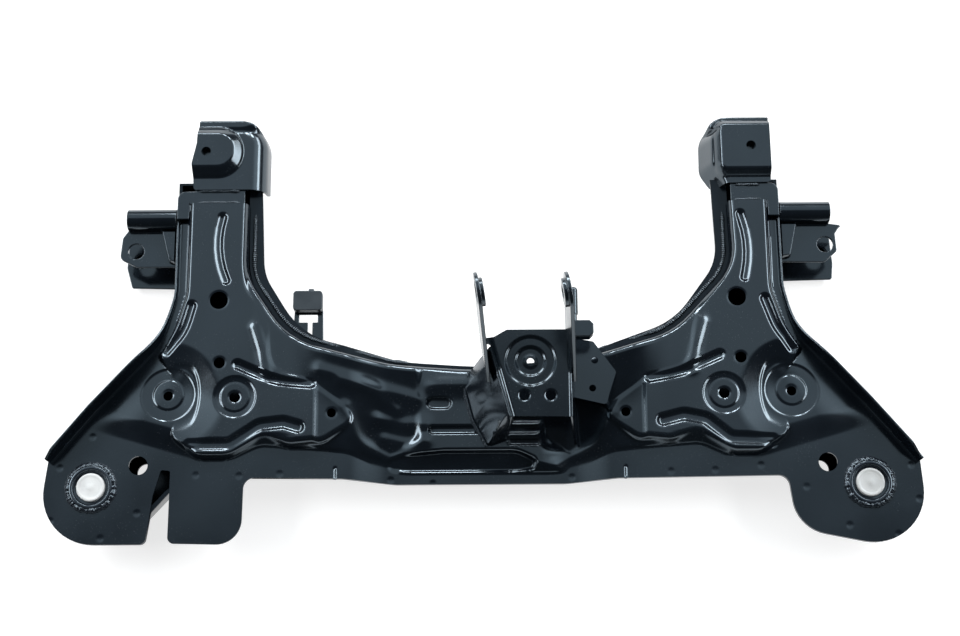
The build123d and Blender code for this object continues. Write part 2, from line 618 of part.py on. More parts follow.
@cache
def centre_web():
    """Level web of the centre bracket with a dished seat and two smaller holes."""
    points = [(32, WEB_REAR_Y, 2), (11, 140, 3), (3, 141, 0)]
    points += [(2, 147, 0), (15, 147, 3), (29, WEB_FRONT_Y, 3)]
    points += [(WEB_RIGHT_X, WEB_FRONT_Y, 2), (WEB_RIGHT_X, WEB_REAR_Y - 1, 2)]
    web = prism(points, WEB_TOP - PLATE, WEB_TOP)
    x, y = WEB_CIRCLE
    web += disc(x, y, 16, WEB_TOP - PLATE - WEB_DISH, WEB_TOP, 28)
    web -= disc(x, y, 15.5, WEB_TOP - WEB_DISH, WEB_TOP + 0.01, 26)
    web -= disc(x, y, WEB_CENTRE_HOLE, 90, 130)
    for x, y in WEB_SMALL_HOLES:
        web -= disc(x, y, WEB_SMALL_HOLE, 90, 130)
    return web - ear(-1, FIT_GAP) - ear(1, FIT_GAP)


@cache
def ear(side, spare=0.0):
    """Upright ear of the centre bracket: wide foot, leaning neck, round top with a bolt hole."""
    low = EAR_FOOT_Z
    middle = Vector(0, EAR_CENTRE_Y, EAR_CENTRE_Z)
    lean = Vector(0, EAR_CENTRE_Y - EAR_FOOT_Y, EAR_CENTRE_Z - low).normalized()
    across = Vector(0, lean.Z, -lean.Y)
    front = middle + across * EAR_RADIUS
    rear = middle - across * EAR_RADIUS
    foot_front = Vector(0, EAR_FOOT_Y + EAR_FOOT_HALF, low)
    foot_rear = Vector(0, EAR_FOOT_Y - EAR_FOOT_HALF, low)
    edges = [
        Edge.make_line(foot_rear, rear),
        Edge.make_three_point_arc(rear, middle + lean * EAR_RADIUS, front),
        Edge.make_line(front, foot_front),
        Edge.make_line(foot_front, foot_rear),
    ]
    thick = EAR_SHEET + 2 * spare
    plate = Pos(-spare, 0, 0) * extrude(Face(Wire(edges)), amount=thick, dir=(1, 0, 0))
    inward = -side
    start = EAR_SHEET if inward > 0 else 0
    seat = Pos(start + inward * EAR_DISH / 2, EAR_CENTRE_Y, EAR_CENTRE_Z) * Rot(0, 90, 0)
    plate += seat * Cylinder(EAR_SEAT_RADIUS, EAR_DISH)
    hollow = Pos(EAR_SHEET - start + inward * EAR_DISH / 2, EAR_CENTRE_Y, EAR_CENTRE_Z)
    plate -= hollow * Rot(0, 90, 0) * Cylinder(EAR_SEAT_RADIUS - PLATE, EAR_DISH)
    x = EAR_LEFT_X if side < 0 else EAR_RIGHT_X
    middle = Pos(x, EAR_CENTRE_Y, EAR_CENTRE_Z)
    plate = Pos(x, EAR_CENTRE_Y, 0) * Rot(0, 0, EAR_YAW) * Pos(0, -EAR_CENTRE_Y, 0) * plate
    return plate - middle * Rot(0, 90, 0) * Cylinder(EAR_HOLE, 60)


def ruled(low_points, z_low, high_points, z_high):
    """Solid between two polygons of equal count at two heights."""
    low = Wire.make_polygon([Vector(x, y, z_low) for x, y in low_points], close=True)
    high = Wire.make_polygon([Vector(x, y, z_high) for x, y in high_points], close=True)
    return Solid.make_loft([low, high], ruled=True)


def strip(points, thick):
    """Closed polygon of a strip along a line of points, thickened along +X."""
    return points + [(x + thick, y) for x, y in reversed(points)]


def wall_left():
    """Left wall of the centre bracket, spreading down to the crossmember."""
    low = SADDLE_TOP + FOOT_GAP
    body = ruled(strip(WALL_FOOT, PLATE), low, strip(WALL_HEAD, PLATE), WEB_TOP - PLATE)
    return body - ear(-1, FIT_GAP)


def wall_weld():
    """Weld bead along the left wall's foot, on the crossmember."""
    low = [(x - WELD_WIDTH - FIT_GAP, y) for x, y in WALL_FOOT[:-1]]
    crest = [(x - WELD_CREST - FIT_GAP, y) for x, y in WALL_FOOT[:-1]]
    return ruled(strip(low, WELD_WIDTH), SADDLE_TOP, strip(crest, WELD_CREST), SADDLE_TOP + WELD_HEIGHT)


@cache
def wall_right():
    """Right wall of the centre bracket, standing on the crossmember."""
    foot = [(104, 40), (105, 136)]
    head = [(WEB_RIGHT_X - PLATE, 61), (WEB_RIGHT_X - PLATE, 153)]
    body = ruled(strip(foot, 3), WALL_FLOOR, strip(head, 3), WEB_TOP - PLATE)
    return body - saddle_outer() - ear(1, FIT_GAP)


def side_plate():
    """Small two-hole plate on the right wall with its foot down to the crossmember."""
    plate = prism(
        [(98, 157, 0), (124, 152, 3), (148, 118, 4), (136, 82, 3), (98, 91, 0)],
        SIDE_PLATE_TOP - PLATE, SIDE_PLATE_TOP,
    )
    foot = [(144, 119), (134, 83)]
    leg = ruled(strip([(151, 117), (140, 80)], 3), 38, strip(foot, 3), SIDE_PLATE_TOP - 0.5)
    body = plate + leg
    for x, y in ((125, 131), (122, 100)):
        body -= disc(x, y, 3.8, 60, 100)
    return body - wall_right() - saddle_outer()


def stud():
    """Plain round pin with a domed end, standing forward from its block."""
    x, y0, y1, z = STUD
    pin = Pos(x, (y0 + y1) / 2, z) * Rot(90, 0, 0) * Cylinder(STUD_RADIUS, y1 - y0)
    neck = Pos(x, y0 + 4, z) * Rot(90, 0, 0) * Cylinder(STUD_RADIUS - 1.2, 8)
    pin -= Pos(x, y0 + 4, z) * Rot(90, 0, 0) * Cylinder(STUD_RADIUS + 1, 8) - neck
    return fillet(pin.edges().group_by(Axis.Y)[-1], STUD_RADIUS - 0.6)


def stud_block():
    """Block that carries the pin beside the right ear."""
    x, y0, y1, z = STUD
    body = box(99, 122, y0 - 18, y0, z - 9, z + 7)
    body = chamfer(body.edges().filter_by(Axis.Z).group_by(Axis.X)[-1], 4)
    return body - ear(1, FIT_GAP) - wall_right() - centre_web()


def hanger():
    """Small bracket ahead of the crossmember: two legs, a window and a cap strip."""
    low, high = 18.0, 21.0
    frame = prism([(-211, 168, 0), (-176, 158, 0), (-177, 208, 3), (-209, 208, 3)], low, high)
    frame -= box(-204, -183, 192, 201, 0, 60)
    frame -= box(-194, -189, 150, 192, 0, 60)
    return frame - pocket(-FIT_GAP, -1)


def hanger_cap():
    """Rubber-like block over the bracket's front edge with a small nub."""
    cap = box(-210, -177, 203, 226, 21, 33)
    cap = fillet(cap.edges().filter_by(Axis.Z), 4)
    return cap + box(-193, -187, 225, 229, 24, 30)


def parts():
    """All nodes by name."""
    nodes = {"upper_shell": upper_shell(), "lower_shell": lower_shell()}
    for side, word in ((-1, "left"), (1, "right")):
        nodes["turned_edge_" + word] = turned_edge(side)
        nodes["sleeve_" + word] = sleeve(side)
        nodes["plug_" + word] = plug(side)
        nodes["weld_sleeve_" + word] = sleeve_weld(side)
        nodes["weld_bay_" + word] = bay_weld(side)
        nodes["front_stub_" + word] = front_stub(side)
        nodes["front_mount_" + word] = front_mount(side)
        mount = LEFT_MOUNT if side < 0 else RIGHT_MOUNT
        nodes["weld_arm_end_" + word] = stub_weld(side, ARM_END_Y, 1)
        nodes["weld_front_mount_" + word] = stub_weld(side, mount[-1][1], -1)
        nodes["arm_bracket_upper_" + word] = arm_bracket_upper(side)
        nodes["arm_bracket_cheek_" + word] = arm_bracket_cheek(side)
        nodes["arm_bracket_lower_" + word] = arm_bracket_lower(side)
        nodes["centre_ear_" + word] = ear(side)
    nodes["centre_web"] = centre_web()
    nodes["centre_wall_left"] = wall_left()
    nodes["weld_wall_left"] = wall_weld()
    nodes["centre_wall_right"] = wall_right()
    nodes["side_plate"] = side_plate()
    nodes["stud"] = stud()
    nodes["stud_block"] = stud_block()
    nodes["hanger"] = hanger()
    nodes["hanger_cap"] = hanger_cap()
    return nodes


def main():
    """Write one file per node."""
    os.makedirs("parts", exist_ok=True)
    for name, solid in parts().items():
        export_step(solid, "parts/" + name + ".step")


if __name__ == "__main__":
    main()
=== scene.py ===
"""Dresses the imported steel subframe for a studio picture.

Lengths in the classes are millimetres in the part's own frame and become metres in the mesh.
+X runs along the crossmember, +Y points to the two arms, +Z is up. Pressed sheets are height
fields: every fold is a smooth meeting of planes, measured from the sheet's own outlines.
"""

import json
import logging
import math
from dataclasses import dataclass, field
from enum import Enum

import bmesh
import bpy
import numpy as np
from mathutils import Matrix


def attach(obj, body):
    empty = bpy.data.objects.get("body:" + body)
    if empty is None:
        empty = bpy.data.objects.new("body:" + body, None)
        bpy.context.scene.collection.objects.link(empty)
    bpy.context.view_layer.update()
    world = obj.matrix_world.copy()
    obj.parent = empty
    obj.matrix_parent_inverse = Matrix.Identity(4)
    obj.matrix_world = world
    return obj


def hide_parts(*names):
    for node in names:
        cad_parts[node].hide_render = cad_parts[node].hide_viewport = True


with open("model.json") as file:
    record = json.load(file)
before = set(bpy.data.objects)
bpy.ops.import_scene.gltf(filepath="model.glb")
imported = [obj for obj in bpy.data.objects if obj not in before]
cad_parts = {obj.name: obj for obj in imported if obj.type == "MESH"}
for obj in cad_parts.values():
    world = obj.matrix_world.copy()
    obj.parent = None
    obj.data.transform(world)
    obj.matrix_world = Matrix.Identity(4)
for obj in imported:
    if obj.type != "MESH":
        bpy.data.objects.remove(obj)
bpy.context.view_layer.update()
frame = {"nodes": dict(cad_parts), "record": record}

LOG = logging.getLogger("subframe")
MM = 0.001
TINY = 1e-6
ARC_STEP = 7.0
SHEET = 2.6
FLANGE_TOP = 50.0
PLATEAU_TOP = 62.0
TERRACE_TOP = 55.2
CENTRE_DROP = 12.0
STUB_TOP = 59.4
ARM_END_Y = 321.0
ARM_LEFT_X = -341.0
ARM_RIGHT_X = 340.0
SLEEVE_X = 422.0

Array = np.ndarray
Spot = tuple[float, float]
Span = tuple[float, float]
Triple = tuple[float, float, float]
Corner = tuple[float, float, float]
Edge = tuple[Array, Array, Array]
Profile = tuple[Spot, ...]
Materials = dict[str, bpy.types.Material]

# Outlines: each corner is x, y and the radius of its arc.
REAR_LEFT: list[Corner] = [(-92, 3, 60), (-150, 8, 60)]
LEFT_TAB: list[Corner] = [
    (-257, 10, 12), (-258, -63, 27), (-337, -61, 7), (-337, 18, 2), (-347, 19, 2),
]
LEFT_LOBE: list[Corner] = [(-355, -10, 6), (-361, -62, 7), (-480, -62, 57), (-470, 29, 0)]
LEFT_OUTER: list[Corner] = [(-424, 86, 40), (-354, 164, 80), (-340, 216, 60)]
RIGHT_OUTER: list[Corner] = [(340, 222, 60), (352, 172, 80), (424, 90, 40)]
RIGHT_LOBE: list[Corner] = [(478, 24, 0), (484, -78, 57), (341, -49, 42), (334, 9, 12)]
REAR_RIGHT: list[Corner] = [(150, 7, 60), (92, 3, 60)]
FRONT_FOOT: list[Corner] = [
    (-258, ARM_END_Y, 0), (-258, 238, 60), (-210, 166, 90), (-99, 136, 200), (0, 129, 300),
    (99, 137, 200), (214, 172, 90), (282, 246, 60), (277, ARM_END_Y, 0),
]
REAR_FOOT: list[Corner] = [
    (-298, 600, 0), (-298, 40, 8), (-280, 22, 20), (-266, 20, 20),
    (-238, 33, 20), (-172, 28, 60), (-80, 17, 80), (80, 17, 80), (172, 28, 60),
    (238, 33, 20), (266, 20, 20), (280, 22, 20), (298, 40, 8), (298, 600, 0),
]
LEFT_PLATEAU: list[Corner] = [
    (-324, ARM_END_Y + 40, 0), (-324, 214, 40), (-334, 182, 30), (-352, 152, 8), (-318, 100, 20),
    (-334, 56, 10), (-306, 36, 20), (-276, 36, 20), (-236, 58, 20), (-208, 48, 20), (-172, 50, 20),
    (-140, 72, 9), (-152, 88, 20), (-186, 114, 20), (-232, 128, 30), (-232, 180, 40),
    (-262, 222, 40), (-262, ARM_END_Y + 40, 0),
]
RIGHT_PLATEAU: list[Corner] = [
    (281, ARM_END_Y + 40, 0), (284, 250, 60), (236, 180, 40), (232, 132, 30), (186, 118, 20),
    (152, 92, 20), (140, 75, 9), (172, 52, 20), (208, 50, 20), (236, 60, 20),
    (276, 38, 20), (306, 38, 20), (334, 58, 10), (318, 102, 20), (352, 154, 8), (334, 184, 30),
    (323, 216, 40), (324, ARM_END_Y + 40, 0),
]
LENS: list[Corner] = [
    (-118, 24, 6), (-84, 34, 20), (-40, 38, 30), (40, 38, 30), (74, 22, 6), (40, 17, 60),
    (-84, 17, 60),
]

# Round features: centres, and for a hole its radius too.
OUTER_DISHES: tuple[Spot, ...] = ((-342, 101.5), (342, 102.5))
INNER_DISHES: tuple[Spot, ...] = ((-268, 97), (267, 98))
RINGED_HOLES: tuple[Corner, ...] = (
    (-289, 207, 10.0), (286, 207, 10.0), (-286, 135.5, 6.2), (287, 138, 6.2),
    (-162, 79, 5.0), (159, 78, 5.0),
)
PLAIN_HOLES: tuple[Corner, ...] = (
    (-372, 24, 10.3), (378, 23, 10.3), (-268, 97, 5.9), (267, 98, 5.9),
    (-342, 100.5, 5.4), (342, 101.5, 5.4), (-SLEEVE_X, 0, 23.6), (SLEEVE_X, 0, 23.6),
)
SPOT_WELDS: tuple[Spot, ...] = (
    (-371, -28), (-409, -55), (-464, -36), (-457, 22), (-423, 56), (-309, 13), (-262, 12),
    (305, 20), (353, -4), (397, -46), (449, -56), (474, -18), (468, 19),
    (-218, 14), (-98, 8), (-52, 4), (100, 10), (207, 14), (255, 15),
)


def ease(value: Array) -> Array:
    """Smooth step from 0 to 1 with level ends: 3 t^2 - 2 t^3."""
    t = np.clip(value, 0, 1)
    return t * t * (3 - 2 * t)


def rises(value: Array, start: float, end: float) -> Array:
    """Smooth step that is 0 at the start and 1 at the end, which may be the lower of the two."""
    return ease((value - start) / (end - start))


def foot(rise: Array, reach: float) -> Array:
    """Rise above a floor with a smooth start: the rise times a smooth step over the reach."""
    return rise * ease(rise / reach)


def soft_min(a: Array, b: Array, reach: float) -> Array:
    """Lower of two heights, their meeting rounded over a height difference of reach."""
    share = np.clip(0.5 + 0.5 * (b - a) / reach, 0, 1)
    return b * (1 - share) + a * share - reach * share * (1 - share)


def soft_max(a: Array, b: Array, reach: float) -> Array:
    """Higher of two heights, their meeting rounded over a height difference of reach."""
    return -soft_min(-a, -b, reach)


def round_under(top: Array, wall: Array, slope: Array | float,
                radius: Array | float) -> Array:
    """Lower of a top and a wall, with a true arc at the fold.

    With D the distance from the sharp corner and L the arc's tangent length, the drop is
    R - sqrt(R^2 - (L - D)^2) along the arc and slope times distance beyond it.

    Args:
        top: Heights of the nearly level top.
        wall: Heights of the wall's plane.
        slope: Rise of the wall over its run.
        radius: Radius of the fold.

    Returns:
        Heights.
    """
    turn = np.arctan(slope)
    tangent = radius * np.tan(turn / 2)
    run = (wall - top) / slope
    along = np.clip(tangent - run, 0, radius * np.sin(turn))
    arc = radius - np.sqrt(radius * radius - along * along)
    straight = np.maximum(-run, 0) * slope
    past = tangent - run > radius * np.sin(turn)
    return top - np.where(past, straight, arc)


def slope_of(degrees: float) -> float:
    """Rise over run of a wall that stands this many degrees from upright."""
    return 1 / math.tan(math.radians(degrees))


def rounded_line(points: list[Corner], closed: bool = True) -> Array:
    """Polyline of an outline whose corners are circular arcs.

    A corner of radius r starts and ends r / tan(half its angle) from its point, and its centre
    lies r / sin(half its angle) along the bisector.

    Args:
        points: Corner points (x, y, radius).
        closed: Whether the last point meets the first one.

    Returns:
        Array of points, shape (n, 2).
    """
    spots = np.array([p[:2] for p in points], float)
    made: list[Array] = []
    count = len(points)
    for i, (x, y, radius) in enumerate(points):
        corner = np.array([x, y], float)
        if radius == 0 or (not closed and i in (0, count - 1)):
            made.append(corner[None])
            continue
        before = spots[i - 1] - corner
        after = spots[(i + 1) % count] - corner
        before /= np.linalg.norm(before)
        after /= np.linalg.norm(after)
        half = math.acos(float(np.clip(before @ after, -1, 1))) / 2
        bisector = before + after
        centre = corner + bisector / np.linalg.norm(bisector) * radius / math.sin(half)
        start = corner + before * radius / math.tan(half) - centre
        end = corner + after * radius / math.tan(half) - centre
        first = math.atan2(start[1], start[0])
        turn = (math.atan2(end[1], end[0]) - first + math.pi) % (2 * math.pi) - math.pi
        steps = max(2, int(abs(turn) / math.radians(ARC_STEP)) + 1)
        angle = first + turn * np.linspace(0, 1, steps + 1)
        made.append(centre + radius * np.stack([np.cos(angle), np.sin(angle)], 1))
    line = np.concatenate(made)
    if closed:
        line = np.concatenate([line, line[:1]])
    return line


def line_distance(line: Array, x: Array, y: Array) -> Edge:
    """Distance from points to a polyline: the least over its straight runs.

    Args:
        line: Points of the polyline, shape (n, 2).
        x: Coordinates of the points to measure.
        y: Coordinates of the points to measure.

    Returns:
        Distance, and the nearest point's x and y.
    """
    best = np.full(x.shape, np.inf)
    near_x = np.zeros(x.shape)
    near_y = np.zeros(x.shape)
    for (ax, ay), (bx, by) in zip(line[:-1], line[1:]):
        run_x, run_y = bx - ax, by - ay
        length = run_x * run_x + run_y * run_y
        if length < TINY * TINY:
            continue
        share = np.clip(((x - ax) * run_x + (y - ay) * run_y) / length, 0, 1)
        spot_x = ax + share * run_x
        spot_y = ay + share * run_y
        gap = (x - spot_x) ** 2 + (y - spot_y) ** 2
        closer = gap < best
        best = np.where(closer, gap, best)
        near_x = np.where(closer, spot_x, near_x)
        near_y = np.where(closer, spot_y, near_y)
    return np.sqrt(best), near_x, near_y


def gap_to(points: tuple[Corner, ...], x: Array, y: Array) -> Array:
    """Distance to an open line with rounded corners."""
    return line_distance(rounded_line(list(points), closed=False), x, y)[0]


def path_at(line: Array, spots: Array) -> tuple[Array, Array]:
    """Points and unit directions of a polyline at given lengths along it.

    Args:
        line: Points of the polyline, shape (n, 2) or (n, 3).
        spots: Lengths along the polyline.

    Returns:
        Points and directions, with as many coordinates as the polyline.
    """
    run = length_along(line)
    path = np.stack([np.interp(spots, run, axis) for axis in line.T], 1)
    along = np.gradient(path, axis=0)
    return path, along / np.linalg.norm(along, axis=1, keepdims=True)


def length_along(line: Array) -> Array:
    """Length along a polyline at each of its points."""
    return np.concatenate([[0], np.cumsum(np.linalg.norm(np.diff(line, axis=0), axis=1))])


@dataclass
class Region:
    """A flat region with a closed outline, and signed distances to it, positive inside."""

    points: list[Corner]
    line: Array = field(init=False)

    def __post_init__(self) -> None:
        """Round the corners once."""
        self.line = rounded_line(self.points)

    def holds(self, x: Array, y: Array) -> Array:
        """True where a point lies inside: a ray from it crosses an odd number of runs.

        Args:
            x: The points' places along x.
            y: The points' places along y.

        Returns:
            True or false at each point.
        """
        odd = np.zeros(x.shape, bool)
        for (ax, ay), (bx, by) in zip(self.line[:-1], self.line[1:]):
            if ay == by:
                continue
            crosses = (ay > y) != (by > y)
            odd ^= crosses & (x < (bx - ax) * (y - ay) / (by - ay) + ax)
        return odd

    def nearest(self, x: Array, y: Array) -> Edge:
        """Signed distance and the nearest point on the outline."""
        gap, near_x, near_y = line_distance(self.line, x, y)
        return np.where(self.holds(x, y), gap, -gap), near_x, near_y

    def depth(self, x: Array, y: Array) -> Array:
        """Signed distance to the outline."""
        return self.nearest(x, y)[0]


def hole_edge(x: Array, y: Array, hole: Corner) -> Edge:
    """Signed distance to a round hole, positive outside it, and the nearest point of its rim.

    Args:
        x: The points' places along x.
        y: The points' places along y.
        hole: Centre and radius of the hole.

    Returns:
        Signed distance, and the nearest edge point's x and y.
    """
    cx, cy, radius = hole
    away = np.maximum(np.hypot(x - cx, y - cy), TINY)
    return away - radius, cx + (x - cx) * radius / away, cy + (y - cy) * radius / away


def nearest_edge(edges: list[Edge]) -> Edge:
    """Of several edges of one sheet, the one with the least signed distance at each point.

    Args:
        edges: Signed distance and nearest edge point of each edge.

    Returns:
        Signed distance, and the nearest edge point's x and y.
    """
    best, best_x, best_y = edges[0]
    for other, other_x, other_y in edges[1:]:
        lower = other < best
        best = np.where(lower, other, best)
        best_x = np.where(lower, other_x, best_x)
        best_y = np.where(lower, other_y, best_y)
    return best, best_x, best_y


def rims(x: Array, y: Array, holes: tuple[Corner, ...], width: float) -> Array:
    """1 at each hole's edge, falling smoothly to 0 a width further out.

    Args:
        x: The points' places along x.
        y: The points' places along y.
        holes: Centres and radii of the holes.
        width: How far a rim reaches out from its hole.

    Returns:
        Share of the rims' full depth at each point.
    """
    total = np.zeros(x.shape)
    for cx, cy, radius in holes:
        total += rises(np.hypot(x - cx, y - cy) - radius, width, 0.0)
    return total


def renumbering(used: Array, count: int) -> Array:
    """Table of the used points' new numbers, by their old ones.

    Args:
        used: Numbers of the points that stay, in rising order.
        count: How many points there were.

    Returns:
        New numbers, which are 0 for points that don't stay.
    """
    table = np.zeros(count, np.int64)
    table[used] = np.arange(len(used))
    return table


class MeshKit:
    """Puts arrays of points and faces into Blender objects of the part."""

    @staticmethod
    def place(name: str, mesh: bpy.types.Mesh, slot: str, material: bpy.types.Material,
              stands_for: tuple[str, ...], crease: float) -> bpy.types.Object:
        """Shade a mesh and make it a piece of the part that rides on its body.

        Args:
            name: Name of the piece.
            mesh: Its mesh.
            slot: The record's material slot; not used.
            material: The finish.
            stands_for: CAD nodes that the piece replaces.
            crease: Angle in degrees above which an edge stays sharp.

        Returns:
            The new object.
        """
        mesh.shade_smooth()
        mesh.set_sharp_from_angle(angle=math.radians(crease))
        mesh.materials.clear()
        mesh.materials.append(material)
        made = bpy.data.objects.new(name, mesh)
        bpy.context.scene.collection.objects.link(made)
        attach(made, "root")
        if stands_for:
            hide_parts(*stands_for)
        LOG.info("%s: %d faces", name, len(mesh.polygons))
        return made

    @staticmethod
    def piece(name: str, points: Array, quads: Array, tris: Array, slot: str,
              material: bpy.types.Material, stands_for: tuple[str, ...] = (),
              crease: float = 38.0) -> bpy.types.Object:
        """Make one piece from arrays.

        Args:
            name: Name of the piece.
            points: Points in millimetres, shape (n, 3).
            quads: Four-sided faces, shape (m, 4).
            tris: Three-sided faces, shape (k, 3).
            slot: The record's material slot.
            material: The finish.
            stands_for: CAD nodes that the piece replaces.
            crease: Angle in degrees above which an edge stays sharp.

        Returns:
            The new object.
        """
        mesh = bpy.data.meshes.new(name)
        mesh.vertices.add(len(points))
        mesh.vertices.foreach_set("co", (points * MM).astype(np.float32).ravel())
        corners = np.concatenate([quads.ravel(), tris.ravel()]).astype(np.int32)
        mesh.loops.add(len(corners))
        mesh.loops.foreach_set("vertex_index", corners)
        starts = np.concatenate([
            np.arange(len(quads)) * 4, len(quads) * 4 + np.arange(len(tris)) * 3,
        ]).astype(np.int32)
        mesh.polygons.add(len(starts))
        mesh.polygons.foreach_set("loop_start", starts)
        mesh.update(calc_edges=True)
        mesh.validate()
        return MeshKit.place(name, mesh, slot, material, stands_for, crease)

    @staticmethod
    def tube(rings: Array, flip: bool) -> tuple[Array, Array, Array]:
        """Join rings of points into a closed tube with flat ends.

        Args:
            rings: Points, shape (rings, points in a ring, 3).
            flip: Whether each ring runs the other way round.

        Returns:
            Points, the sides' quads and the ends' triangles, all facing outward.
        """
        rows, columns = rings.shape[:2]
        index = np.arange(rows * columns).reshape(rows, columns)
        right = np.roll(index, -1, 1)
        quads = np.stack([index[:-1], right[:-1], right[1:], index[1:]], 2).reshape(-1, 4)
        first, last = (np.stack([np.full(columns - 2, ring[0]), ring[1:-1], ring[2:]], 1)
                       for ring in (index[0], index[-1]))
        if flip:
            quads = quads[:, ::-1]
            last = last[:, ::-1]
        else:
            first = first[:, ::-1]
        return rings.reshape(-1, 3), quads, np.concatenate([first, last])


def normals_of(points: Array, quads: Array, tris: Array) -> Array:
    """Unit normals at points: the sum of the cross products of the faces round each.

    A point whose faces are all slivers, which happens on a cut edge, gets a plain upward normal.

    Args:
        points: Points, shape (n, 3).
        quads: Four-sided faces, shape (m, 4).
        tris: Three-sided faces, shape (k, 3).

    Returns:
        Normals, shape (n, 3).
    """
    sliver_area = 0.3
    total = np.zeros_like(points)
    faces = np.concatenate([quads[:, [0, 1, 2]], quads[:, [0, 2, 3]], tris])
    a, b, c = (points[faces[:, k]] for k in range(3))
    cross = np.cross(b - a, c - a)
    for k in range(3):
        for axis in range(3):
            total[:, axis] += np.bincount(faces[:, k], cross[:, axis], len(points))
    size = np.linalg.norm(total, axis=1, keepdims=True)
    sliver = (size < sliver_area) | (total[:, 2:] < 0)
    return np.where(sliver, np.array([0.0, 0.0, 1.0]), total / np.maximum(size, TINY))


@dataclass
class PressedSheet:
    """A pressed steel sheet as a height field on a square grid, with its true thickness.

    Grid points next to the sheet's edge move onto it, so outlines and holes are clean lines.
    The underside is the upper side moved by the thickness against its normals.
    """

    name: str
    slot: str
    stands_for: tuple[str, ...]
    pitch: float = 1.3
    thickness: float = SHEET
    splits: tuple[float, ...] = ()

    def extent(self) -> tuple[float, float, float, float]:
        """Lowest and highest x, then lowest and highest y, of the grid."""
        raise NotImplementedError

    def edge(self, x: Array, y: Array) -> Edge:
        """Signed distance to the sheet's edge, positive on the sheet, and the nearest edge point."""
        raise NotImplementedError

    def height(self, x: Array, y: Array) -> Array:
        """Height of the sheet's upper side."""
        raise NotImplementedError

    def grid(self) -> tuple[Array, Array, Array, Array, Array]:
        """Grid points moved onto the edge, and the faces that lie on the sheet.

        Returns:
            x, y, heights, quads and triangles.
        """
        x0, x1, y0, y1 = self.extent()
        across = np.arange(x0, x1 + self.pitch, self.pitch)
        along = np.arange(y0, y1 + self.pitch, self.pitch)
        x, y = (a.ravel() for a in np.meshgrid(across, along))
        depth, near_x, near_y = self.edge(x, y)
        on_edge = np.abs(depth) <= self.pitch / 2
        x = np.where(on_edge, near_x, x)
        y = np.where(on_edge, near_y, y)
        quads, tris = self.faces(x, y, on_edge, on_edge | (depth > 0), len(across))
        used = np.unique(np.concatenate([quads.ravel(), tris.ravel()]))
        table = renumbering(used, len(x))
        x, y = x[used], y[used]
        return x, y, self.height(x, y), table[quads], table[tris]

    def faces(self, x: Array, y: Array, on_edge: Array, held: Array,
              columns: int) -> tuple[Array, Array]:
        """Faces of the grid that lie on the sheet.

        A cell with all four corners held is a quad and one with three a triangle. Where all
        corners were moved onto the edge, the face is kept if its middle lies on the sheet.

        Args:
            x: Coordinates of the grid points, moved onto the edge where near it.
            y: Coordinates of the grid points.
            on_edge: Which points were moved.
            held: Which points lie on the sheet or its edge.
            columns: Number of points in a row of the grid.

        Returns:
            Quads and triangles.
        """
        index = np.arange(len(x)).reshape(-1, columns)
        cell = np.stack([index[:-1, :-1], index[:-1, 1:], index[1:, 1:], index[1:, :-1]], 2)
        cell = cell.reshape(-1, 4)
        corners = held[cell]
        count = corners.sum(1)
        keep = count == 4
        flat = np.flatnonzero(on_edge[cell].all(1))
        if len(flat):
            middle, _, _ = self.edge(x[cell[flat]].mean(1), y[cell[flat]].mean(1))
            keep[flat[middle < 0]] = False
        tris = np.concatenate([
            cell[(count == 3) & ~corners[:, k]][:, [(k + 1) % 4, (k + 2) % 4, (k + 3) % 4]]
            for k in range(4)
        ])
        if len(tris):
            middle, _, _ = self.edge(x[tris].mean(1), y[tris].mean(1))
            tris = tris[middle > 0]
        return cell[keep], tris

    def build(self, material: bpy.types.Material) -> list[bpy.types.Object]:
        """Make the sheet, as one piece or several that meet at the split lines.

        Args:
            material: The finish.

        Returns:
            The pieces.
        """
        x, y, z, quads, tris = self.grid()
        upper = np.stack([x, y, z], 1)
        lower = upper - self.thickness * normals_of(upper, quads, tris)
        points = np.concatenate([upper, lower])
        size = len(x)
        starts = np.concatenate([quads.ravel(), tris.ravel()])
        ends = np.concatenate([np.roll(quads, -1, 1).ravel(), np.roll(tris, -1, 1).ravel()])
        owner = np.concatenate([np.repeat(np.arange(len(quads)), 4),
                                len(quads) + np.repeat(np.arange(len(tris)), 3)])
        is_open = ~np.isin(starts * size + ends, ends * size + starts)
        rim = np.stack([ends, starts, starts + size, ends + size], 1)[is_open]
        middles = np.concatenate([x[quads].mean(1), x[tris].mean(1)])
        part_of = np.searchsorted(np.array(self.splits, float), middles)
        rim_part = part_of[owner[is_open]]
        made = []
        for index in range(len(self.splits) + 1):
            mine_quads = quads[part_of[:len(quads)] == index]
            mine_tris = tris[part_of[len(quads):] == index]
            all_quads = np.concatenate([mine_quads, mine_quads[:, ::-1] + size,
                                        rim[rim_part == index]])
            all_tris = np.concatenate([mine_tris, mine_tris[:, ::-1] + size])
            used = np.unique(np.concatenate([all_quads.ravel(), all_tris.ravel()]))
            table = renumbering(used, len(points))
            name = f"{self.name}_{index + 1}" if self.splits else self.name
            made.append(MeshKit.piece(name, points[used], table[all_quads], table[all_tris],
                                      self.slot, material, self.stands_for))
        return made


@dataclass(frozen=True)
class Ridge:
    """A soft ridge along a line: its height falls off as exp(-(distance / half width)^2)."""

    points: tuple[Corner, ...]
    top: float = 1.5
    half: float = 7.5

    def height(self, x: Array, y: Array) -> Array:
        """Height at each point."""
        return self.top * np.exp(-((gap_to(self.points, x, y) / self.half) ** 2))


@dataclass(frozen=True)
class Bead:
    """A pressed bead or groove: full depth along its middle, smooth walls to its edges."""

    points: tuple[Corner, ...]
    width: float
    deep: float = 3.0
    wall: float = 6.6

    def depth(self, x: Array, y: Array) -> Array:
        """Depth at each point."""
        gap = gap_to(self.points, x, y)
        return self.deep * rises(gap, (self.width + self.wall) / 2, (self.width - self.wall) / 2)


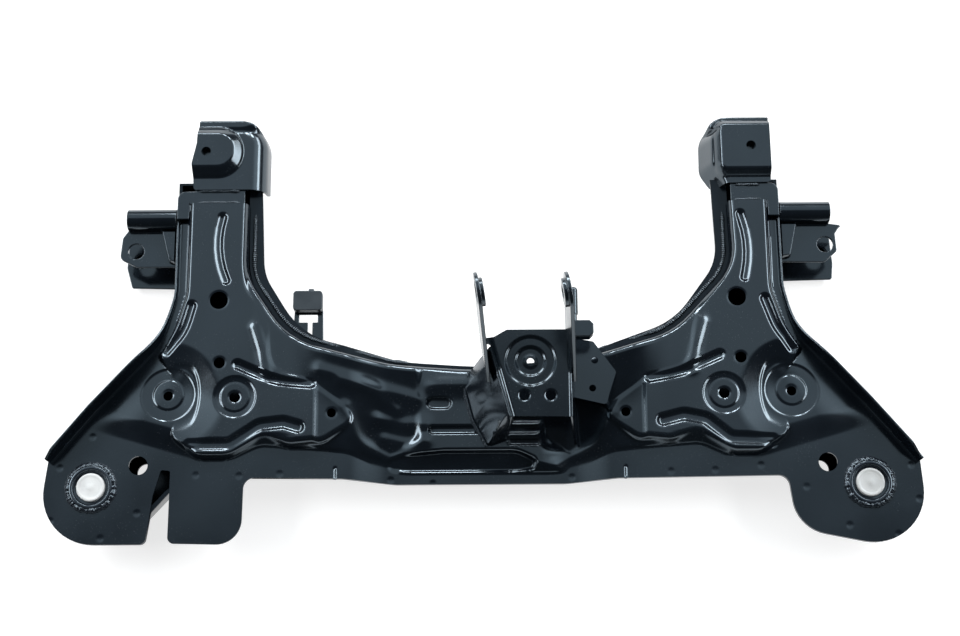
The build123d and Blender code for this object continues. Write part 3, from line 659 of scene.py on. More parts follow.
@dataclass(frozen=True)
class RoundPressing:
    """A round pressing about each of its centres: a cone and concentric steps.

    The cone is a depth, the radius of its rim and the width over which it deepens evenly. Each
    step is a depth, the radius up to which it is full and the radius where it ends.
    """

    centres: tuple[Spot, ...]
    steps: tuple[Triple, ...]
    cone: Triple = (0.0, 0.0, 1.0)

    def depth(self, x: Array, y: Array) -> Array:
        """Depth at each point.

        Args:
            x: The points' places along x.
            y: The points' places along y.

        Returns:
            Depths.
        """
        total = np.zeros(x.shape)
        deep, rim, width = self.cone
        for cx, cy in self.centres:
            away = np.hypot(x - cx, y - cy)
            total += deep * np.clip((rim - away) / width, 0, 1)
            for step, inner, outer in self.steps:
                total += step * rises(away, outer, inner)
        return total


@dataclass(frozen=True)
class Saddle:
    """Top of the raised middle, which dips between the plateaus.

    Either side of the middle lies a valley: a plane that starts just above the flange and
    leans back, with soft ridges. A swell runs along the middle's front edge.
    """

    low: float = 47.0
    dip: Span = (236.0, 82.0)
    valley_start: float = 62.0
    valley_run: float = 12.0
    rear_run: float = 26.0
    run_change: Span = (34.0, 58.0)
    valley_end: Span = (214.0, 164.0)
    valley_rise: float = 1.0
    valley_foot: float = 30.0
    valley_lean: float = 0.125
    ridges: tuple[Ridge, ...] = (
        Ridge(((-148, 86, 0), (-134, 48, 30), (-84, 22, 0))),
        Ridge(((146, 76, 0), (128, 44, 30), (84, 22, 0))),
        Ridge(((-152, 112, 0), (-118, 104, 40), (-92, 84, 0))),
        Ridge(((-176, 126, 0), (-120, 110, 80), (-72, 96, 0))),
        Ridge(((-112, 74, 0), (-84, 68, 30), (-62, 69, 0))),
        Ridge(((-104, 52, 0), (-80, 46, 30), (-62, 50, 0))),
    )
    swell: float = 3.4
    swell_y: float = 113.0
    swell_half: float = 10.0
    swell_end: Span = (68.0, 42.0)

    def height(self, x: Array, y: Array, flange: Array) -> Array:
        """Height at each point, given the flange's.

        Args:
            x: The points' places along x.
            y: The points' places along y.
            flange: The flange's height at the points.

        Returns:
            Heights.
        """
        away = np.abs(x)
        top = PLATEAU_TOP - (PLATEAU_TOP - self.low) * rises(away, *self.dip)
        run = self.valley_run + self.rear_run * (1 - rises(y, *self.run_change))
        share = ease((away - self.valley_start) / run) * rises(away, *self.valley_end)
        valley = flange + self.valley_rise + self.valley_lean * (y - self.valley_foot)
        top = top * (1 - share) + valley * share
        for ridge in self.ridges:
            top = top + ridge.height(x, y)
        swell = self.swell * np.exp(-(((y - self.swell_y) / self.swell_half) ** 2))
        return top + swell * rises(away, *self.swell_end)


@dataclass(frozen=True)
class Plateaus:
    """The two corner plateaus: walls, sloping noses and a round step about each outer dish."""

    taper: float = 30.0
    wall_foot: float = 7.5
    wall_fold: float = 7.0
    nose_fold: float = 182.0
    nose_rise: float = 1.8
    nose_half: float = 44.0
    nose_step: float = 2.8
    nose_step_span: Span = (-2.0, 7.0)
    nose_slope: float = 0.05
    arc_foot: float = 32.0
    arc_run: float = 23.0
    arc_widest: float = 1.4
    arc_narrowing: float = 0.35
    arc_change: Span = (-22.0, 22.0)
    arc_round: float = 3.0
    arc_reach: float = 75.0
    arc_blend: float = 0.9

    def top(self, x: Array) -> Array:
        """Level top that swells towards the fold line of the nose and slopes off beyond it.

        Args:
            x: The points' places along x.

        Returns:
            Heights.
        """
        past = self.nose_fold - np.abs(x)
        panel = 2 * self.nose_rise * rises(past, -self.nose_half, self.nose_half)
        step = self.nose_step * rises(past, *self.nose_step_span)
        step = step + np.maximum(past, 0) * self.nose_slope
        return PLATEAU_TOP + np.where(past < 0, panel, self.nose_rise) - step

    def height(self, x: Array, y: Array) -> Array:
        """Height at each point: the top, cut by the walls and by the steps about the dishes.

        With p the distance past a step's foot, the step rises as (p + sqrt(p^2 + r^2)) / 2
        over its run, so that it starts softly.

        Args:
            x: The points' places along x.
            y: The points' places along y.

        Returns:
            Heights.
        """
        slope = slope_of(self.taper)
        lift = np.maximum(Region(LEFT_PLATEAU).depth(x, y), Region(RIGHT_PLATEAU).depth(x, y))
        wall = FLANGE_TOP + (lift + self.wall_foot) * slope
        height = round_under(self.top(x), wall, slope, self.wall_fold)
        for cx, cy in OUTER_DISHES:
            away = np.hypot(x - cx, y - cy)
            narrow = self.arc_narrowing * rises(y - cy, *self.arc_change)
            run = self.arc_run * (self.arc_widest - narrow)
            past = away - self.arc_foot
            rise = (past + np.sqrt(past * past + self.arc_round ** 2)) / 2 / run
            arc = TERRACE_TOP + (PLATEAU_TOP - TERRACE_TOP) * rise
            cut = soft_min(height, arc, self.arc_blend)
            height = np.where(away < self.arc_reach, cut, height)
        return height


@dataclass(frozen=True)
class Terraces:
    """Low terrace about each outer dish, which falls to the lobe along a slanting line."""

    line_start: Spot = (412.0, 83.0)
    line_normal: Spot = (0.277, 0.961)
    fall: Span = (-23.0, 4.0)
    rear: Span = (10.0, 30.0)
    inner: Span = (292.0, 316.0)
    lip: Span = (5.0, 51.0)

    def height(self, x: Array, y: Array, side: Array) -> Array:
        """Height above the flange, given the distance from the turned-up edge.

        Args:
            x: The points' places along x.
            y: The points' places along y.
            side: The points' distance from the turned-up edge.

        Returns:
            Heights above the flange.
        """
        away = np.abs(x)
        above = ((self.line_start[0] - away) * self.line_normal[0]
                 + (y - self.line_start[1]) * self.line_normal[1])
        share = rises(above, *self.fall) * rises(y, *self.rear) * rises(away, *self.inner)
        return (TERRACE_TOP - FLANGE_TOP) * share * rises(side, *self.lip)


@dataclass(frozen=True)
class Pressings:
    """Everything pressed into the upper sheet: dishes, beads, grooves, weld marks, creases."""

    round_ones: tuple[RoundPressing, ...] = (
        RoundPressing(OUTER_DISHES, ((0.9, 28.4, 30.8), (-0.9, 15.6, 17.4), (0.5, 5.2, 7.0)),
                      (1.5, 29.5, 12.0)),
        RoundPressing(INNER_DISHES, ((0.9, 21.8, 24.2), (-0.7, 15.0, 16.8), (0.8, 5.8, 7.8)),
                      (0.8, 23.0, 6.0)),
        RoundPressing(SPOT_WELDS, ((0.26, 1.2, 4.6),)),
    )
    rim_depth: float = 0.45
    rim_width: float = 2.0
    beads: tuple[Bead, ...] = (
        Bead(((-288, 304, 0), (-298, 267, 108), (-282, 230, 0)), 7.5),
        Bead(((294, 304, 0), (305, 267, 120), (296, 230, 0)), 7.5),
        Bead(((-319, 201, 0), (-327, 170, 60), (-346, 149, 0)), 8.0),
        Bead(((317, 205, 0), (328, 173, 60), (345, 149, 0)), 8.0),
        Bead(((-266, 133, 0), (-226, 115, 90), (-185, 111, 0)), 8.5),
        Bead(((264, 141, 0), (222, 122, 90), (186, 115, 0)), 8.5),
        Bead(((-316, 44, 0), (-272, 44, 16), (-240, 65, 16), (-214, 68, 16), (-198, 63, 0)),
             11.0),
        Bead(((318, 46, 0), (272, 48, 16), (246, 69, 16), (222, 74, 16), (199, 68, 0)), 11.0),
    )
    grooves: tuple[Bead, ...] = (
        Bead(((-52, 92, 0), (-38, 92, 0)), 12.0, 3.2, 3.6),
        Bead(((-52, 62, 0), (60, 62, 0)), 8.0, 3.2, 3.6),
        Bead(((34, 73, 0), (62, 73, 0)), 6.0, 3.2, 3.6),
        Bead(((34, 48, 0), (62, 48, 0)), 6.0, 3.2, 3.6),
    )
    lens_edge: Span = (-3.5, 2.5)
    lens_lean: float = 0.15
    lens_rear: float = 28.0
    streaks: tuple[Ridge, ...] = (
        Ridge(((-247, 176, 0), (-238, 150, 40), (-233, 124, 0)), 2.4, 6.5),
        Ridge(((246, 180, 0), (236, 150, 40), (232, 128, 0)), 2.4, 6.5),
    )
    creases: tuple[Spot, ...] = ((-158, 14), (158, 14))
    crease_depth: float = 1.3
    crease_half: float = 1.1
    crease_end: Span = (8.0, 4.0)
    ripple: float = 0.12
    long_wave: Span = (37.0, 29.0)
    long_wave_shift: float = 1.3
    short_wave: Span = (19.0, 23.0)

    def lens(self, x: Array, y: Array, z: Array) -> Array:
        """Depth of the long tapering recess at the rear, whose floor leans back a little."""
        floor = FLANGE_TOP - CENTRE_DROP + self.lens_lean * (y - self.lens_rear)
        return rises(Region(LENS).depth(x, y), *self.lens_edge) * np.maximum(z - floor, 0)

    def depth(self, x: Array, y: Array, z: Array) -> Array:
        """Depth below the sheet's plain height, plus the faint waves of rolled steel.

        Args:
            x: The points' places along x.
            y: The points' places along y.
            z: The sheet's plain height at the points.

        Returns:
            Depths.
        """
        depth = self.rim_depth * rims(x, y, RINGED_HOLES, self.rim_width)
        for pressing in self.round_ones + self.beads + self.grooves:
            depth += pressing.depth(x, y)
        depth += self.lens(x, y, z)
        for streak in self.streaks:
            depth -= streak.height(x, y)
        for cx, cy in self.creases:
            across = np.exp(-(((x - cx) / self.crease_half) ** 2))
            depth += self.crease_depth * across * rises(np.abs(y - cy), *self.crease_end)
        long_x, long_y = self.long_wave
        short_x, short_y = self.short_wave
        waves = np.sin(x / long_x + self.long_wave_shift) * np.sin(y / long_y)
        return depth + self.ripple * (waves + np.sin(x / short_x - y / short_y))


@dataclass
class UpperSheet(PressedSheet):
    """The upper pressed sheet: flange, raised body, corner plateaus, terraces and pressings."""

    name: str = "upper_sheet"
    slot: str = "paint"
    stands_for: tuple[str, ...] = ("upper_shell",)
    pitch: float = 1.0
    splits: tuple[float, ...] = (-345.0, -235.0, -60.0, 120.0, 260.0, 350.0)
    grid_x: float = 481.0
    grid_rear: float = -72.0
    steep: float = 12.0
    soft: float = 50.0
    fold: float = 7.5
    body_fold: float = 7.0
    blend: float = 3.0
    front_foot: float = 1.1
    side_foot: float = 11.0
    rear_foot: float = 10.5
    tuck: float = 3.2
    tuck_span: Span = (238.0, 262.0)
    dip: Span = (150.0, 96.0)
    lip_root: float = 5.5
    lip_start: float = 29.0
    stub_start: float = 303.0
    stub_inner: float = 326.0
    saddle: Saddle = Saddle()
    plateaus: Plateaus = Plateaus()
    terraces: Terraces = Terraces()
    pressings: Pressings = Pressings()

    def extent(self) -> tuple[float, float, float, float]:
        """Lowest and highest x, then lowest and highest y, of the grid."""
        return -self.grid_x, self.grid_x, self.grid_rear, ARM_END_Y + 1

    def outline(self) -> Region:
        """The whole sheet.

        Returns:
            The region.
        """
        left = REAR_LEFT + LEFT_TAB + LEFT_LOBE + LEFT_OUTER + [(ARM_LEFT_X, ARM_END_Y, 0)]
        right = [(ARM_RIGHT_X, ARM_END_Y, 0)] + RIGHT_OUTER + RIGHT_LOBE + REAR_RIGHT
        return Region(left + right)

    def outer_side(self) -> Region:
        """Everything between the two turned-up outer edges; it ends far behind and ahead.

        Returns:
            The region.
        """
        left = [(-600, -160, 0), (-600, -112, 0)] + LEFT_LOBE[-1:] + LEFT_OUTER
        right = RIGHT_OUTER + RIGHT_LOBE[:1] + [(608, -112, 0), (608, -160, 0)]
        arms = [(ARM_LEFT_X, 450, 0), (ARM_RIGHT_X, 450, 0)]
        return Region(left + arms + right)

    def bay_side(self) -> Region:
        """Everything on the rear side of the front wall; it ends far outside the part.

        Returns:
            The region.
        """
        end = ARM_END_Y + 100
        left = [(-700, end, 0), (FRONT_FOOT[0][0], end, 0)]
        right = [(FRONT_FOOT[-1][0], end, 0), (700, end, 0), (700, -200, 0), (-700, -200, 0)]
        return Region(left + FRONT_FOOT[1:-1] + right)

    def wall_edge(self, x: Array, y: Array) -> Edge:
        """The front wall's lower edge, which follows the flange's dip down the steep wall.

        Args:
            x: The points' places along x.
            y: The points' places along y.

        Returns:
            Signed distance, and the nearest edge point's x and y.
        """
        bay, bay_x, bay_y = self.bay_side().nearest(x, y)
        drop = FLANGE_TOP - self.flange(x)
        reach = self.front_foot - drop / slope_of(self.steep)
        ratio = np.where(np.abs(bay) > TINY, reach / np.where(bay == 0, 1.0, bay), 0.0)
        return bay - reach, bay_x + (x - bay_x) * ratio, bay_y + (y - bay_y) * ratio

    def lip_edge(self, x: Array, y: Array) -> Edge:
        """Where the sheet ends at the root of a turned-up edge.

        Args:
            x: The points' places along x.
            y: The points' places along y.

        Returns:
            Signed distance, and the nearest edge point's x and y.
        """
        side, side_x, side_y = self.outer_side().nearest(x, y)
        ratio = self.lip_root / np.maximum(side, TINY)
        gap = np.where(y > self.lip_start, side - self.lip_root, np.inf)
        return gap, side_x + (x - side_x) * ratio, side_y + (y - side_y) * ratio

    def notch_edge(self, x: Array, y: Array) -> Edge:
        """The square notch at each arm's outer end, which the stub plate fills.

        Args:
            x: The points' places along x.
            y: The points' places along y.

        Returns:
            Signed distance, and the nearest edge point's x and y.
        """
        ahead, within = self.stub_start - y, self.stub_inner - np.abs(x)
        straight = np.abs(ahead) < np.abs(within)
        return (np.maximum(ahead, within),
                np.where(straight, x, np.sign(x) * self.stub_inner),
                np.where(straight, self.stub_start, y))

    def edge(self, x: Array, y: Array) -> Edge:
        """Signed distance to the sheet's edge and the nearest edge point.

        Args:
            x: The points' places along x.
            y: The points' places along y.

        Returns:
            Signed distance, and the nearest edge point's x and y.
        """
        edges = [self.outline().nearest(x, y), self.wall_edge(x, y), self.lip_edge(x, y)]
        edges += [hole_edge(x, y, hole) for hole in RINGED_HOLES + PLAIN_HOLES]
        return nearest_edge(edges + [self.notch_edge(x, y)])

    def flange(self, x: Array) -> Array:
        """Height of the flange, which dips in the middle."""
        return FLANGE_TOP - CENTRE_DROP * rises(np.abs(x), *self.dip)

    def height(self, x: Array, y: Array) -> Array:
        """Height of the sheet's upper side.

        The body is the lower of the saddle and the soft rear slope. Body and plateaus meet
        softly, and the steep front wall and the two sides cut both, each fold a true arc. All
        this stands on the flange and its terraces, less the pressings.

        Args:
            x: The points' places along x.
            y: The points' places along y.

        Returns:
            Heights.
        """
        wall, soft = slope_of(self.steep), slope_of(self.soft)
        flange = self.flange(x)
        side = self.outer_side().depth(x, y)
        rear_slope = FLANGE_TOP + (Region(REAR_FOOT).depth(x, y) - self.rear_foot) * soft
        front_wall = FLANGE_TOP + (self.bay_side().depth(x, y) - self.front_foot) * wall
        side_wall = FLANGE_TOP + (side - self.side_foot) * wall
        top = self.saddle.height(x, y, flange) - self.tuck * rises(np.abs(x), *self.tuck_span)
        body = round_under(top, rear_slope, soft, self.body_fold)
        raised = soft_max(body, self.plateaus.height(x, y), self.blend)
        raised = round_under(raised, front_wall, wall, self.fold)
        raised = round_under(raised, side_wall, wall, self.fold)
        floor = flange + self.terraces.height(x, y, side)
        z = floor + foot(raised - floor, self.blend)
        return z - self.pressings.depth(x, y, z)


@dataclass
class OutlinedSheet(PressedSheet):
    """A pressed sheet with a plain outline and round holes."""

    corners: list[Corner] = field(default_factory=list)
    holes: tuple[Corner, ...] = ()
    margin: float = 2.0

    def extent(self) -> tuple[float, float, float, float]:
        """Lowest and highest x, then lowest and highest y, of the grid.

        Returns:
            The four limits.
        """
        line = rounded_line(self.corners)
        low, high = line.min(0) - self.margin, line.max(0) + self.margin
        return low[0], high[0], low[1], high[1]

    def edge(self, x: Array, y: Array) -> Edge:
        """Signed distance to the outline or the nearest hole, and the nearest edge point."""
        edges = [Region(self.corners).nearest(x, y)]
        return nearest_edge(edges + [hole_edge(x, y, hole) for hole in self.holes])


@dataclass
class FrontMount(OutlinedSheet):
    """Front mounting bracket: a capped pressing with turned-down sides and a raised seat."""

    slot: str = "paint"
    stands_for: tuple[str, ...] = ()
    pitch: float = 0.9
    thickness: float = 3.0
    top: float = 62.4
    low: float = 30.0
    walls: list[Corner] = field(default_factory=list)
    wall_slope: float = 10.0
    wall_fold: float = 20.0
    front: float = 422.0
    front_slope: float = 40.0
    front_fold: float = 2.4
    front_span: Span = (-16.0, -4.0)
    seat: list[Corner] = field(default_factory=list)
    seat_height: float = 9.0
    seat_slope: float = 0.8
    seat_fold: float = 5.0
    seat_foot: float = 2.5

    def height(self, x: Array, y: Array) -> Array:
        """Level top, folded down into the walls by a true arc, plus the seat's soft step.

        Towards the front the wall gets steeper and its fold tighter.

        Args:
            x: The points' places along x.
            y: The points' places along y.

        Returns:
            Heights.
        """
        near = rises(y - self.front, *self.front_span)
        slope = self.wall_slope + (self.front_slope - self.wall_slope) * near
        fold = self.wall_fold + (self.front_fold - self.wall_fold) * near
        side = self.low + Region(self.walls).depth(x, y) * slope
        shell = round_under(np.full(x.shape, self.top), side, slope, fold)
        lift = Region(self.seat).depth(x, y) * self.seat_slope
        level = np.full(x.shape, self.seat_height)
        seat = round_under(level, lift, self.seat_slope, self.seat_fold)
        return shell + foot(np.maximum(seat, 0), self.seat_foot)


@dataclass
class CentreWeb(OutlinedSheet):
    """Level web of the centre bracket: dished seat, two ringed holes and folded sides."""

    slot: str = "paint"
    stands_for: tuple[str, ...] = ("centre_web",)
    pitch: float = 0.6
    thickness: float = 3.0
    top: float = 120.0
    lean: float = 0.045
    level_y: float = 118.0
    seat: RoundPressing = RoundPressing(
        ((54.0, 121.0),), ((1.7, 24.5, 28.2), (1.7, 13.5, 17.4), (-0.9, 5.4, 8.6)))
    left_foot: Spot = (32.0, 62.0)
    left_lean: float = 0.269
    left_length: float = 1.035
    left_fall: float = 2.6
    left_fold: float = 5.5
    right_x: float = 98.0
    right_fall: float = 2.0
    right_fold: float = 4.5
    rim_depth: float = 0.7
    rim_width: float = 1.6

    def height(self, x: Array, y: Array) -> Array:
        """A slightly leaning plane that falls off at both sides, less the seat and the rims.

        Args:
            x: The points' places along x.
            y: The points' places along y.

        Returns:
            Heights.
        """
        foot_x, foot_y = self.left_foot
        left = (x - (foot_x - (y - foot_y) * self.left_lean)) / self.left_length
        z = self.top + self.lean * (y - self.level_y)
        z = z - self.left_fall * rises(left, self.left_fold, 0)
        z = z - self.right_fall * rises(x, self.right_x - self.right_fold, self.right_x)
        return z - self.seat.depth(x, y) - self.rim_depth * rims(x, y, self.holes[1:],
                                                                 self.rim_width)


@dataclass
class TurnedEdge:
    """The upper sheet's turned-up outer edge: an L-shaped profile carried along the outline."""

    name: str
    corners: list[Corner]
    inward: float
    stands_for: tuple[str, ...] = ()
    slot: str = "paint"
    top: float = 78.0
    arm_top: float = 54.5
    fall: Span = (128.0, 204.0)
    start_y: float = 29.0
    start_drop: float = 10.0
    bend: float = 3.0
    bend_points: int = 6
    crown_points: int = 9
    pitch: float = 4.0

    def profile(self) -> Array:
        """Rows of inward reach, height and whether the height counts from the edge's top.

        They go up the inner face from the bend, over the rounded top, down the outer face and
        under the bend.

        Returns:
            The rows, shape (n, 3).
        """
        quarter = np.radians(np.linspace(0, 90, self.bend_points))
        half = np.radians(np.linspace(0, 180, self.crown_points))
        root = SHEET + self.bend
        inner = [(root - self.bend * math.sin(a), FLANGE_TOP + self.bend * (1 - math.cos(a)), 0)
                 for a in quarter]
        crown = [(SHEET / 2 * (1 + math.cos(a)), SHEET / 2 * (math.sin(a) - 1), 1) for a in half]
        outer = [(root * (1 - math.cos(a)), FLANGE_TOP - SHEET + root * (1 - math.sin(a)), 0)
                 for a in quarter]
        return np.array(inner + crown + outer)

    def crest(self, y: Array) -> Array:
        """Height of the edge's top: it falls towards the arm, and its rear end is sloped."""
        high = self.top - (self.top - self.arm_top) * rises(y, *self.fall)
        return np.minimum(high, self.top - self.start_drop + np.maximum(y - self.start_y, 0))

    def build(self, material: bpy.types.Material) -> bpy.types.Object:
        """Make the edge as one closed piece: its profile carried along the outline.

        Args:
            material: The finish.

        Returns:
            The new object.
        """
        line = rounded_line(self.corners, closed=False)
        run = length_along(line)[-1]
        path, along = path_at(line, np.linspace(0, run, int(run / self.pitch)))
        inward = np.stack([-along[:, 1], along[:, 0]], 1) * self.inward
        reach, level, from_top = self.profile().T
        z = self.crest(path[:, 1])[:, None] * from_top[None] + level[None]
        flat = path[:, None, :] + inward[:, None, :] * reach[None, :, None]
        rings = np.concatenate([flat, z[:, :, None]], 2)
        return MeshKit.piece(self.name, *MeshKit.tube(rings, self.inward < 0), self.slot,
                             material, self.stands_for)


@dataclass
class TurnedPart:
    """A round part made by turning a profile of (radius, height) about an upright axis."""

    name: str
    slot: str
    stands_for: tuple[str, ...]
    x: float
    outline: Profile
    y: float = 0.0
    steps: int = 96
    ripple: float = 0.0
    ripple_count: float = 26.0
    ripple_orders: Triple = (1.0, 0.41, 1.73)
    phases: Span = (0.0, 6.28)
    seed: int = 1

    def build(self, material: bpy.types.Material) -> bpy.types.Object:
        """Make the part: radius and height at each angle, with weld ripples where asked.

        Args:
            material: The finish.

        Returns:
            The new object.
        """
        rng = np.random.default_rng(self.seed)
        shape = np.array(self.outline, float)
        angle = np.linspace(0, 2 * math.pi, self.steps, endpoint=False)
        waves = np.zeros(self.steps)
        for order in self.ripple_orders:
            turns = round(self.ripple_count * order)
            waves += np.cos(turns * angle + rng.uniform(*self.phases)) / (1 + order)
        swell = 1 + self.ripple * waves
        middle, low = shape[:, 0].mean(), shape[:, 1].min()
        radius = middle + (shape[None, :, 0] - middle) * swell[:, None]
        points = np.stack([
            self.x + radius * np.cos(angle)[:, None],
            self.y + radius * np.sin(angle)[:, None],
            low + (shape[None, :, 1] - low) * swell[:, None],
        ], 2)
        rows, columns = points.shape[:2]
        index = np.arange(rows * columns).reshape(rows, columns)
        below = np.roll(index, -1, 0)
        quads = np.stack([index[:, :-1], below[:, :-1], below[:, 1:], index[:, 1:]], 2)
        return MeshKit.piece(self.name, points.reshape(-1, 3), quads.reshape(-1, 4),
                             np.zeros((0, 3), int), self.slot, material, self.stands_for)


@dataclass
class WeldRun:
    """A rippled weld bead laid along a line."""

    name: str
    path: Array
    width: float
    height: float
    stands_for: tuple[str, ...] = ()
    pitch: float = 2.4
    rings_per_ripple: int = 5
    scallop: float = 0.42
    drift: Span = (0.75, 1.2)
    knot_rings: int = 12
    knot_ripples: float = 2.4
    spare_knots: int = 3
    end_size: float = 0.02
    arch_points: int = 9
    crease: float = 60.0
    sunk: float = 0.3
    seed: int = 1

    def sizes(self, spots: Array) -> Array:
        """Size of the bead at lengths along it, as a share of its full size.

        It is 1 - k s^2 with s a saw-tooth of the ripples' pitch, times a slow random drift,
        and both ends close to a point.

        Args:
            spots: Lengths along the bead.

        Returns:
            Shares, one for each length.
        """
        rng = np.random.default_rng(self.seed)
        saw = (spots / self.pitch) % 1.0
        knots = rng.uniform(*self.drift, len(spots) // self.knot_rings + self.spare_knots)
        drift = np.interp(spots, np.arange(len(knots)) * self.pitch * self.knot_ripples, knots)
        ends = np.sqrt(np.clip(np.minimum(spots, spots[-1] - spots) / self.width, 0, 1))
        return (1 - self.scallop * saw * saw) * drift * ends + self.end_size

    def build(self, material: bpy.types.Material) -> bpy.types.Object:
        """Make the bead: a half-round arch carried along the path.

        Args:
            material: The finish.

        Returns:
            The new object.
        """
        spots = np.arange(0, length_along(self.path)[-1], self.pitch / self.rings_per_ripple)
        path, along = path_at(self.path, spots)
        side = np.stack([-along[:, 1], along[:, 0], np.zeros(len(path))], 1)
        side /= np.linalg.norm(side, axis=1, keepdims=True)
        size = self.sizes(spots)[:, None]
        arch = np.radians(np.linspace(0, 180, self.arch_points))[None]
        across = np.cos(arch) * self.width / 2 * size
        rings = path[:, None, :] + side[:, None, :] * across[:, :, None]
        rings[:, :, 2] += np.sin(arch) * self.height * size - self.sunk
        points, quads, tris = MeshKit.tube(rings, True)
        # The corner that a face starts from sets the diagonal it is later split along.
        quads = np.roll(quads, 1, 1)
        return MeshKit.piece(self.name, points, quads, tris, "weld", material,
                             self.stands_for, self.crease)


@dataclass
class RoundedPlate:
    """A pressed plate of the frame whose cut edges and folds are rounded off."""

    node: str
    slot: str
    width: float = 0.9
    segments: int = 3
    angle: float = 30.0
    merge: float = 0.003
    flat_angle: float = 0.6
    flatten: bool = True

    def build(self, material: bpy.types.Material) -> bpy.types.Object:
        """Copy the node, merge its triangles and flatten them where asked, and bevel every edge past
        the angle.

        Args:
            material: The finish.

        Returns:
            The new object.
        """
        kit = bmesh.new()
        kit.from_mesh(frame["nodes"][self.node].data)
        bmesh.ops.remove_doubles(kit, verts=kit.verts, dist=self.merge * MM)
        if self.flatten:
            bmesh.ops.dissolve_limit(kit, angle_limit=math.radians(self.flat_angle),
                                     verts=kit.verts, edges=kit.edges)
        name = self.node + "_edged"
        mesh = bpy.data.meshes.new(name)
        kit.to_mesh(mesh)
        kit.free()
        made = MeshKit.place(name, mesh, self.slot, material, (self.node,), self.angle)
        edge = made.modifiers.new("edge", "BEVEL")
        edge.width = self.width * MM
        edge.segments = self.segments
        edge.limit_method = "ANGLE"
        edge.angle_limit = math.radians(self.angle)
        edge.use_clamp_overlap = False
        edge.harden_normals = True
        return made


class NodeMaker:
    """Small helper that adds and links shader nodes in one tree."""

    def __init__(self, tree: bpy.types.NodeTree) -> None:
        """Keep the tree."""
        self.tree = tree

    def add(self, kind: str, **values: object) -> bpy.types.Node:
        """Add a node and set its properties, or else its sockets, by name.

        Args:
            kind: Type name of the node.
            values: Values by the name of a property or socket, with underscores for spaces.

        Returns:
            The new node.
        """
        made = self.tree.nodes.new(kind)
        for key, value in values.items():
            if hasattr(made, key):
                setattr(made, key, value)
            else:
                made.inputs[key.replace("_", " ")].default_value = value
        return made

    def link(self, out: bpy.types.NodeSocket, into: bpy.types.NodeSocket) -> None:
        """Join two sockets."""
        self.tree.links.new(out, into)

    def textures(self, *nodes: bpy.types.Node) -> None:
        """Give texture nodes the object's own coordinates."""
        where = self.add("ShaderNodeTexCoord")
        for node in nodes:
            self.link(where.outputs["Object"], node.inputs["Vector"])

    def maths(self, operation: str, first: bpy.types.NodeSocket,
              second: bpy.types.NodeSocket | float) -> bpy.types.NodeSocket:
        """Result of an operation on a socket and a socket or number.

        Args:
            operation: Blender's name of the operation.
            first: Socket of the first value.
            second: Socket of the second value, or a number.

        Returns:
            The result's socket.
        """
        made = self.add("ShaderNodeMath", operation=operation)
        self.link(first, made.inputs[0])
        if isinstance(second, (int, float)):
            made.inputs[1].default_value = second
        else:
            self.link(second, made.inputs[1])
        return made.outputs[0]

    def ramp(self, value: bpy.types.NodeSocket, given: Span, wanted: Span) -> bpy.types.NodeSocket:
        """Smooth step of a value from one range to another.

        Args:
            value: Socket of the value.
            given: Start and end of the value's range.
            wanted: Results at the two ends.

        Returns:
            The result's socket.
        """
        made = self.add("ShaderNodeMapRange", interpolation_type="SMOOTHSTEP",
                        From_Min=given[0], From_Max=given[1], To_Min=wanted[0], To_Max=wanted[1])
        self.link(value, made.inputs["Value"])
        return made.outputs["Result"]

    def mix(self, kind: str, share: bpy.types.NodeSocket, low: bpy.types.NodeSocket,
            high: bpy.types.NodeSocket) -> bpy.types.NodeSocket:
        """Blend of two numbers or colours.

        Args:
            kind: FLOAT or RGBA.
            share: Share of the second one.
            low: First number or colour.
            high: Second number or colour.

        Returns:
            The blend's socket.
        """
        first, result = (6, 2) if kind == "RGBA" else (2, 0)
        made = self.add("ShaderNodeMix", data_type=kind)
        self.link(share, made.inputs["Factor"])
        self.link(low, made.inputs[first])
        self.link(high, made.inputs[first + 1])
        return made.outputs[result]


def new_group(name: str, inputs: dict[str, str], outputs: dict[str, str]
              ) -> tuple[NodeMaker, bpy.types.Node, bpy.types.Node]:
    """Start a node group.

    Args:
        name: Name of the group.
        inputs: Kind of socket by the input's name: Float or Color.
        outputs: Kind of socket by the output's name.

    Returns:
        A maker for its tree, the input node and the output node.
    """
    tree = bpy.data.node_groups.new(name, "ShaderNodeTree")
    for way, sockets in (("INPUT", inputs), ("OUTPUT", outputs)):
        for socket, kind in sockets.items():
            tree.interface.new_socket(name=socket, in_out=way, socket_type="NodeSocket" + kind)
    kit = NodeMaker(tree)
    return kit, kit.add("NodeGroupInput"), kit.add("NodeGroupOutput")


